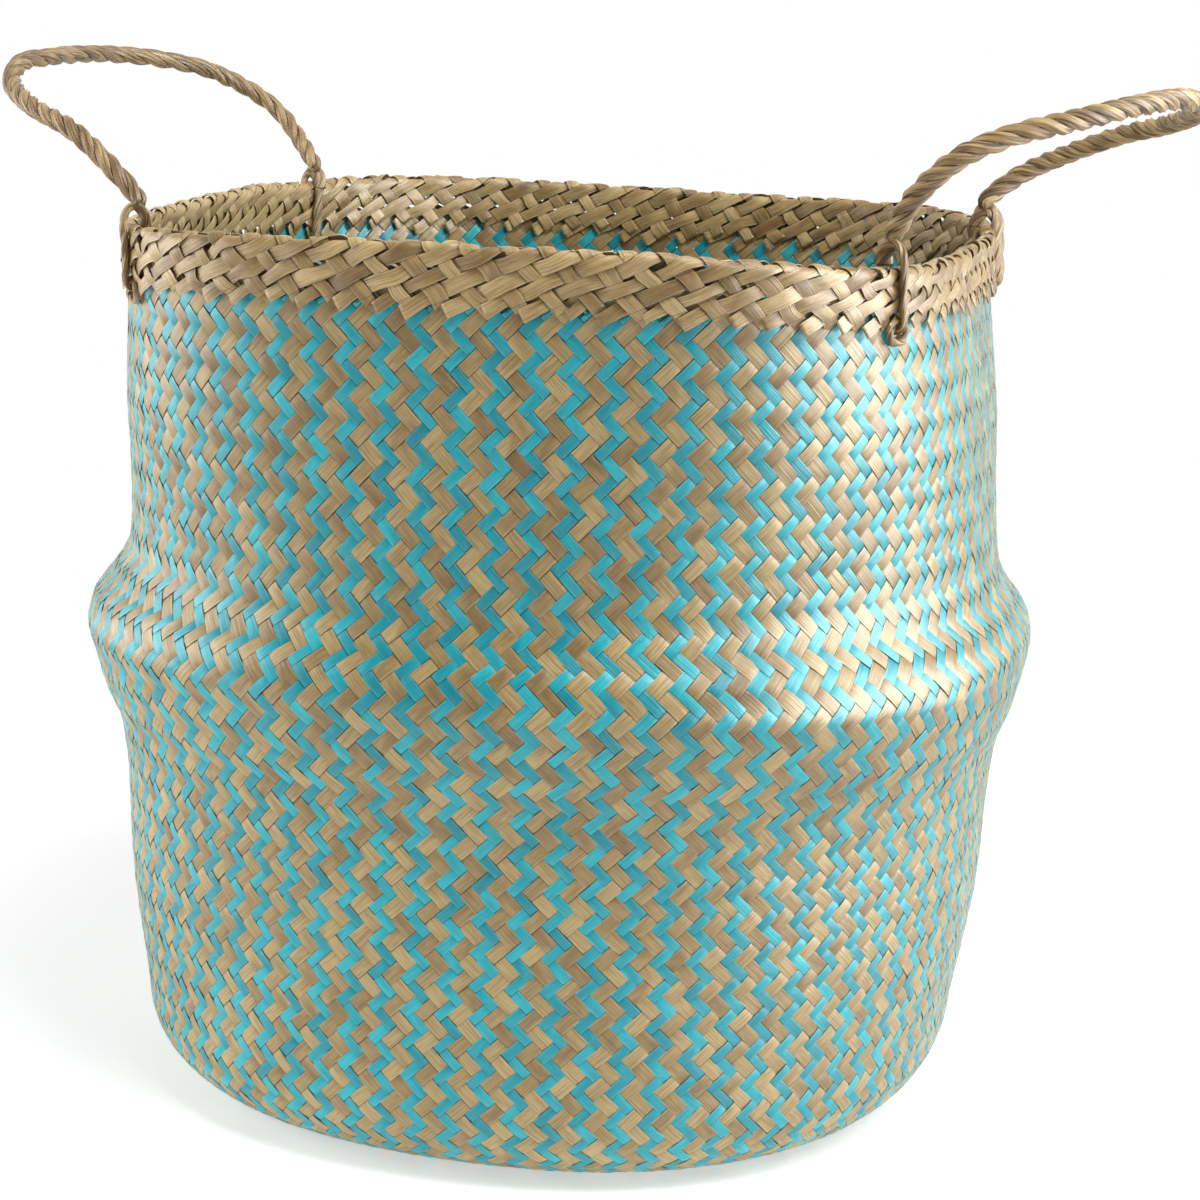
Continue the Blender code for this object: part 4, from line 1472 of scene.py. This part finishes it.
@dataclass(frozen=True)
class PhotoCamera:
    """Camera at the photograph's place."""

    distance: float = 1.2
    turn: float = 15.43
    height: float = 0.4645
    yaw: float = 0.7146
    pitch: float = 12.306
    roll: float = 2.028
    focal_pixels: float = 2825.6
    image_pixels: float = 1200.0

    def build(self) -> bpy.types.Object:
        """Place the camera and make it the scene's own.

        Returns:
            The camera object.
        """
        turn, yaw, pitch, roll = (math.radians(a) for a in (self.turn, self.yaw, self.pitch, self.roll))
        across = Vector((math.cos(turn), math.sin(turn), 0.0))
        ahead = Vector((-math.sin(turn), math.cos(turn), 0.0))
        up = Vector((0.0, 0.0, 1.0))
        right = across * math.cos(yaw) - ahead * math.sin(yaw)
        level = across * math.sin(yaw) + ahead * math.cos(yaw)
        view = level * math.cos(pitch) - up * math.sin(pitch)
        over = level * math.sin(pitch) + up * math.cos(pitch)
        right, over = (right * math.cos(roll) + over * math.sin(roll),
                       over * math.cos(roll) - right * math.sin(roll))
        spot = Vector((self.distance * math.sin(turn), -self.distance * math.cos(turn), self.height))
        data = bpy.data.cameras.new("photo_camera")
        data.sensor_width = 36.0
        data.lens = self.focal_pixels * 36.0 / self.image_pixels
        camera = bpy.data.objects.new("photo_camera", data)
        facing = Matrix((right, over, -view)).transposed().to_4x4()
        camera.matrix_world = Matrix.Translation(spot) @ facing
        bpy.context.scene.collection.objects.link(camera)
        bpy.context.scene.camera = camera
        return camera


@dataclass(frozen=True)
class SoftLamp:
    """Square soft lamp that looks at the basket.

    Attributes:
        name: Name of the lamp.
        spot: Where it stands.
        size: Length of its side.
        power: Power in watts.
        lights: Whether it lights the basket, or only gives its leaves a sheen.
        aim_height: Height at which it looks.
    """

    name: str
    spot: tuple
    size: float
    power: float
    lights: bool = True
    aim_height: float = 0.2

    def build(self) -> None:
        """Make the lamp."""
        data = bpy.data.lights.new(self.name, "AREA")
        data.shape = "SQUARE"
        data.size = self.size
        data.energy = self.power
        lamp = bpy.data.objects.new(self.name, data)
        lamp.visible_diffuse = self.lights
        spot = Vector(self.spot)
        facing = (Vector((0.0, 0.0, self.aim_height)) - spot).to_track_quat("-Z", "Y").to_matrix().to_4x4()
        lamp.matrix_world = Matrix.Translation(spot) @ facing
        bpy.context.scene.collection.objects.link(lamp)


LAMPS = (
    SoftLamp("left_lamp", (-1.16, -0.46, 0.42), 1.0, 8.5),
    SoftLamp("top_lamp", (0.45, -0.50, 1.45), 0.5, 12.0),
    SoftLamp("right_lamp", (1.05, -0.08, 1.00), 0.5, 7.0),
    SoftLamp("right_sheen", (1.30, -0.05, 0.28), 1.5, 98.0, lights=False),
    SoftLamp("left_sheen", (-1.30, -0.10, 0.30), 1.1, 15.0, lights=False),
)


@dataclass
class Studio:
    """White floor and backdrop, and soft lamps round the basket."""

    floor_radius: float = 6.0
    floor_colour: tuple = (0.84, 0.84, 0.84, 1.0)
    sky_front: tuple = (0.155, 0.10)
    sky_round: tuple = (0.47, 1.20)
    glow: float = 0.45
    bounce: float = 0.38
    clear_from: float = 0.42
    clear_to: float = 0.80

    def build(self) -> None:
        """Make the floor, the sky and the lamps, and set the plain view transform."""
        self._floor()
        self._sky()
        for lamp in LAMPS:
            lamp.build()
        bpy.context.scene.view_settings.view_transform = "Standard"

    def _floor(self) -> None:
        """Round floor that keeps the basket's soft shadow and shows white beyond it."""
        disc = bmesh.new()
        bmesh.ops.create_circle(disc, cap_ends=True, segments=96, radius=self.floor_radius)
        mesh = bpy.data.meshes.new("floor")
        disc.to_mesh(mesh)
        disc.free()
        floor = bpy.data.objects.new("floor", mesh)
        bpy.context.scene.collection.objects.link(floor)
        material = bpy.data.materials.new("white_floor")
        material.use_nodes = True
        sheet = NodeSheet(material.node_tree)
        shader = material.node_tree.nodes["Principled BSDF"]
        shader.inputs["Base Color"].default_value = self.floor_colour
        shader.inputs["Roughness"].default_value = 0.9
        path = sheet.add("ShaderNodeLightPath")
        seen = sheet.math("MAXIMUM", path.outputs["Is Camera Ray"], path.outputs["Is Glossy Ray"])
        seen = sheet.math("MAXIMUM", seen, path.outputs["Is Transmission Ray"])
        place = sheet.add("ShaderNodeTexCoord")
        reach = sheet.add("ShaderNodeVectorMath", operation="LENGTH")
        sheet.join(place.outputs["Object"], reach.inputs[0])
        thrown = sheet.math("MULTIPLY", sheet.math("SUBTRACT", 1.0, seen),
                            sheet.spread(reach.outputs["Value"], 0.35, 0.75, self.bounce, 0.0))
        glow = sheet.add("ShaderNodeEmission")
        sheet.join(sheet.math("ADD", sheet.math("MULTIPLY", seen, self.glow), thrown), glow.inputs["Strength"])
        near = sheet.add("ShaderNodeAddShader")
        sheet.join(shader.outputs[0], near.inputs[0])
        sheet.join(glow.outputs[0], near.inputs[1])
        share = sheet.spread(reach.outputs["Value"], self.clear_from, self.clear_to)
        white = sheet.add("ShaderNodeEmission")
        clear = sheet.add("ShaderNodeMixShader")
        sheet.join(sheet.math("MULTIPLY", share, seen), clear.inputs[0])
        sheet.join(near.outputs[0], clear.inputs[1])
        sheet.join(white.outputs[0], clear.inputs[2])
        sheet.join(clear.outputs[0], material.node_tree.nodes["Material Output"].inputs["Surface"])
        mesh.materials.append(material)

    def _sky(self) -> None:
        """Even white light from all round, shown as white behind the basket."""
        world = bpy.context.scene.world or bpy.data.worlds.new("studio")
        bpy.context.scene.world = world
        world.use_nodes = True
        sheet = NodeSheet(world.node_tree)
        backdrop = world.node_tree.nodes["Background"]
        backdrop.inputs["Color"].default_value = (1.0, 1.0, 1.0, 1.0)
        path = sheet.add("ShaderNodeLightPath")
        seen = sheet.math("MAXIMUM", path.outputs["Is Camera Ray"], path.outputs["Is Transmission Ray"])
        glossy = path.outputs["Is Glossy Ray"]
        way = sheet.add("ShaderNodeTexCoord")
        parts = sheet.add("ShaderNodeSeparateXYZ")
        sheet.join(way.outputs["Generated"], parts.inputs[0])
        spread_light = sheet.spread(parts.outputs[1], -0.7, 0.4, self.sky_front[0], self.sky_round[0])
        mirrored = sheet.spread(parts.outputs[1], -0.7, 0.4, self.sky_front[1], self.sky_round[1])
        gained = sheet.math("MULTIPLY", glossy, sheet.math("SUBTRACT", mirrored, spread_light))
        light = sheet.math("ADD", spread_light, gained)
        strength = sheet.math("ADD", light, sheet.math("MULTIPLY", seen, sheet.math("SUBTRACT", 1.0, light)))
        sheet.join(strength, backdrop.inputs["Strength"])


def main() -> None:
    """Build the camera, the studio and every piece of the basket."""
    logging.basicConfig(level=logging.INFO, format="%(message)s")
    PhotoCamera().build()
    Studio().build()
    fibre = leaf_fibre_group()
    finishes = {Leaf.DYED: DYED_LEAF.make(fibre), Leaf.NATURAL: NATURAL_LEAF.make(fibre)}
    border_finish = BORDER_LEAF.make(fibre)
    skin = BasketSkin(BasketSizes())
    makers = [PlaitedBody(skin, finishes), PlaitedBase(skin.sizes, finishes), FoldedBorder(skin, border_finish),
              RopeHandle(skin, LEFT_HANDLE, LEFT_ROPE_FIBRE.make(fibre)),
              RopeHandle(skin, RIGHT_HANDLE, SHADED_RIGHT_ROPE_FIBRE.make(fibre))]
    for maker in makers:
        for piece in maker.build():
            LOG.info("%s: %d faces", piece.name, len(piece.data.polygons))


if __name__ == "__main__":
    main()
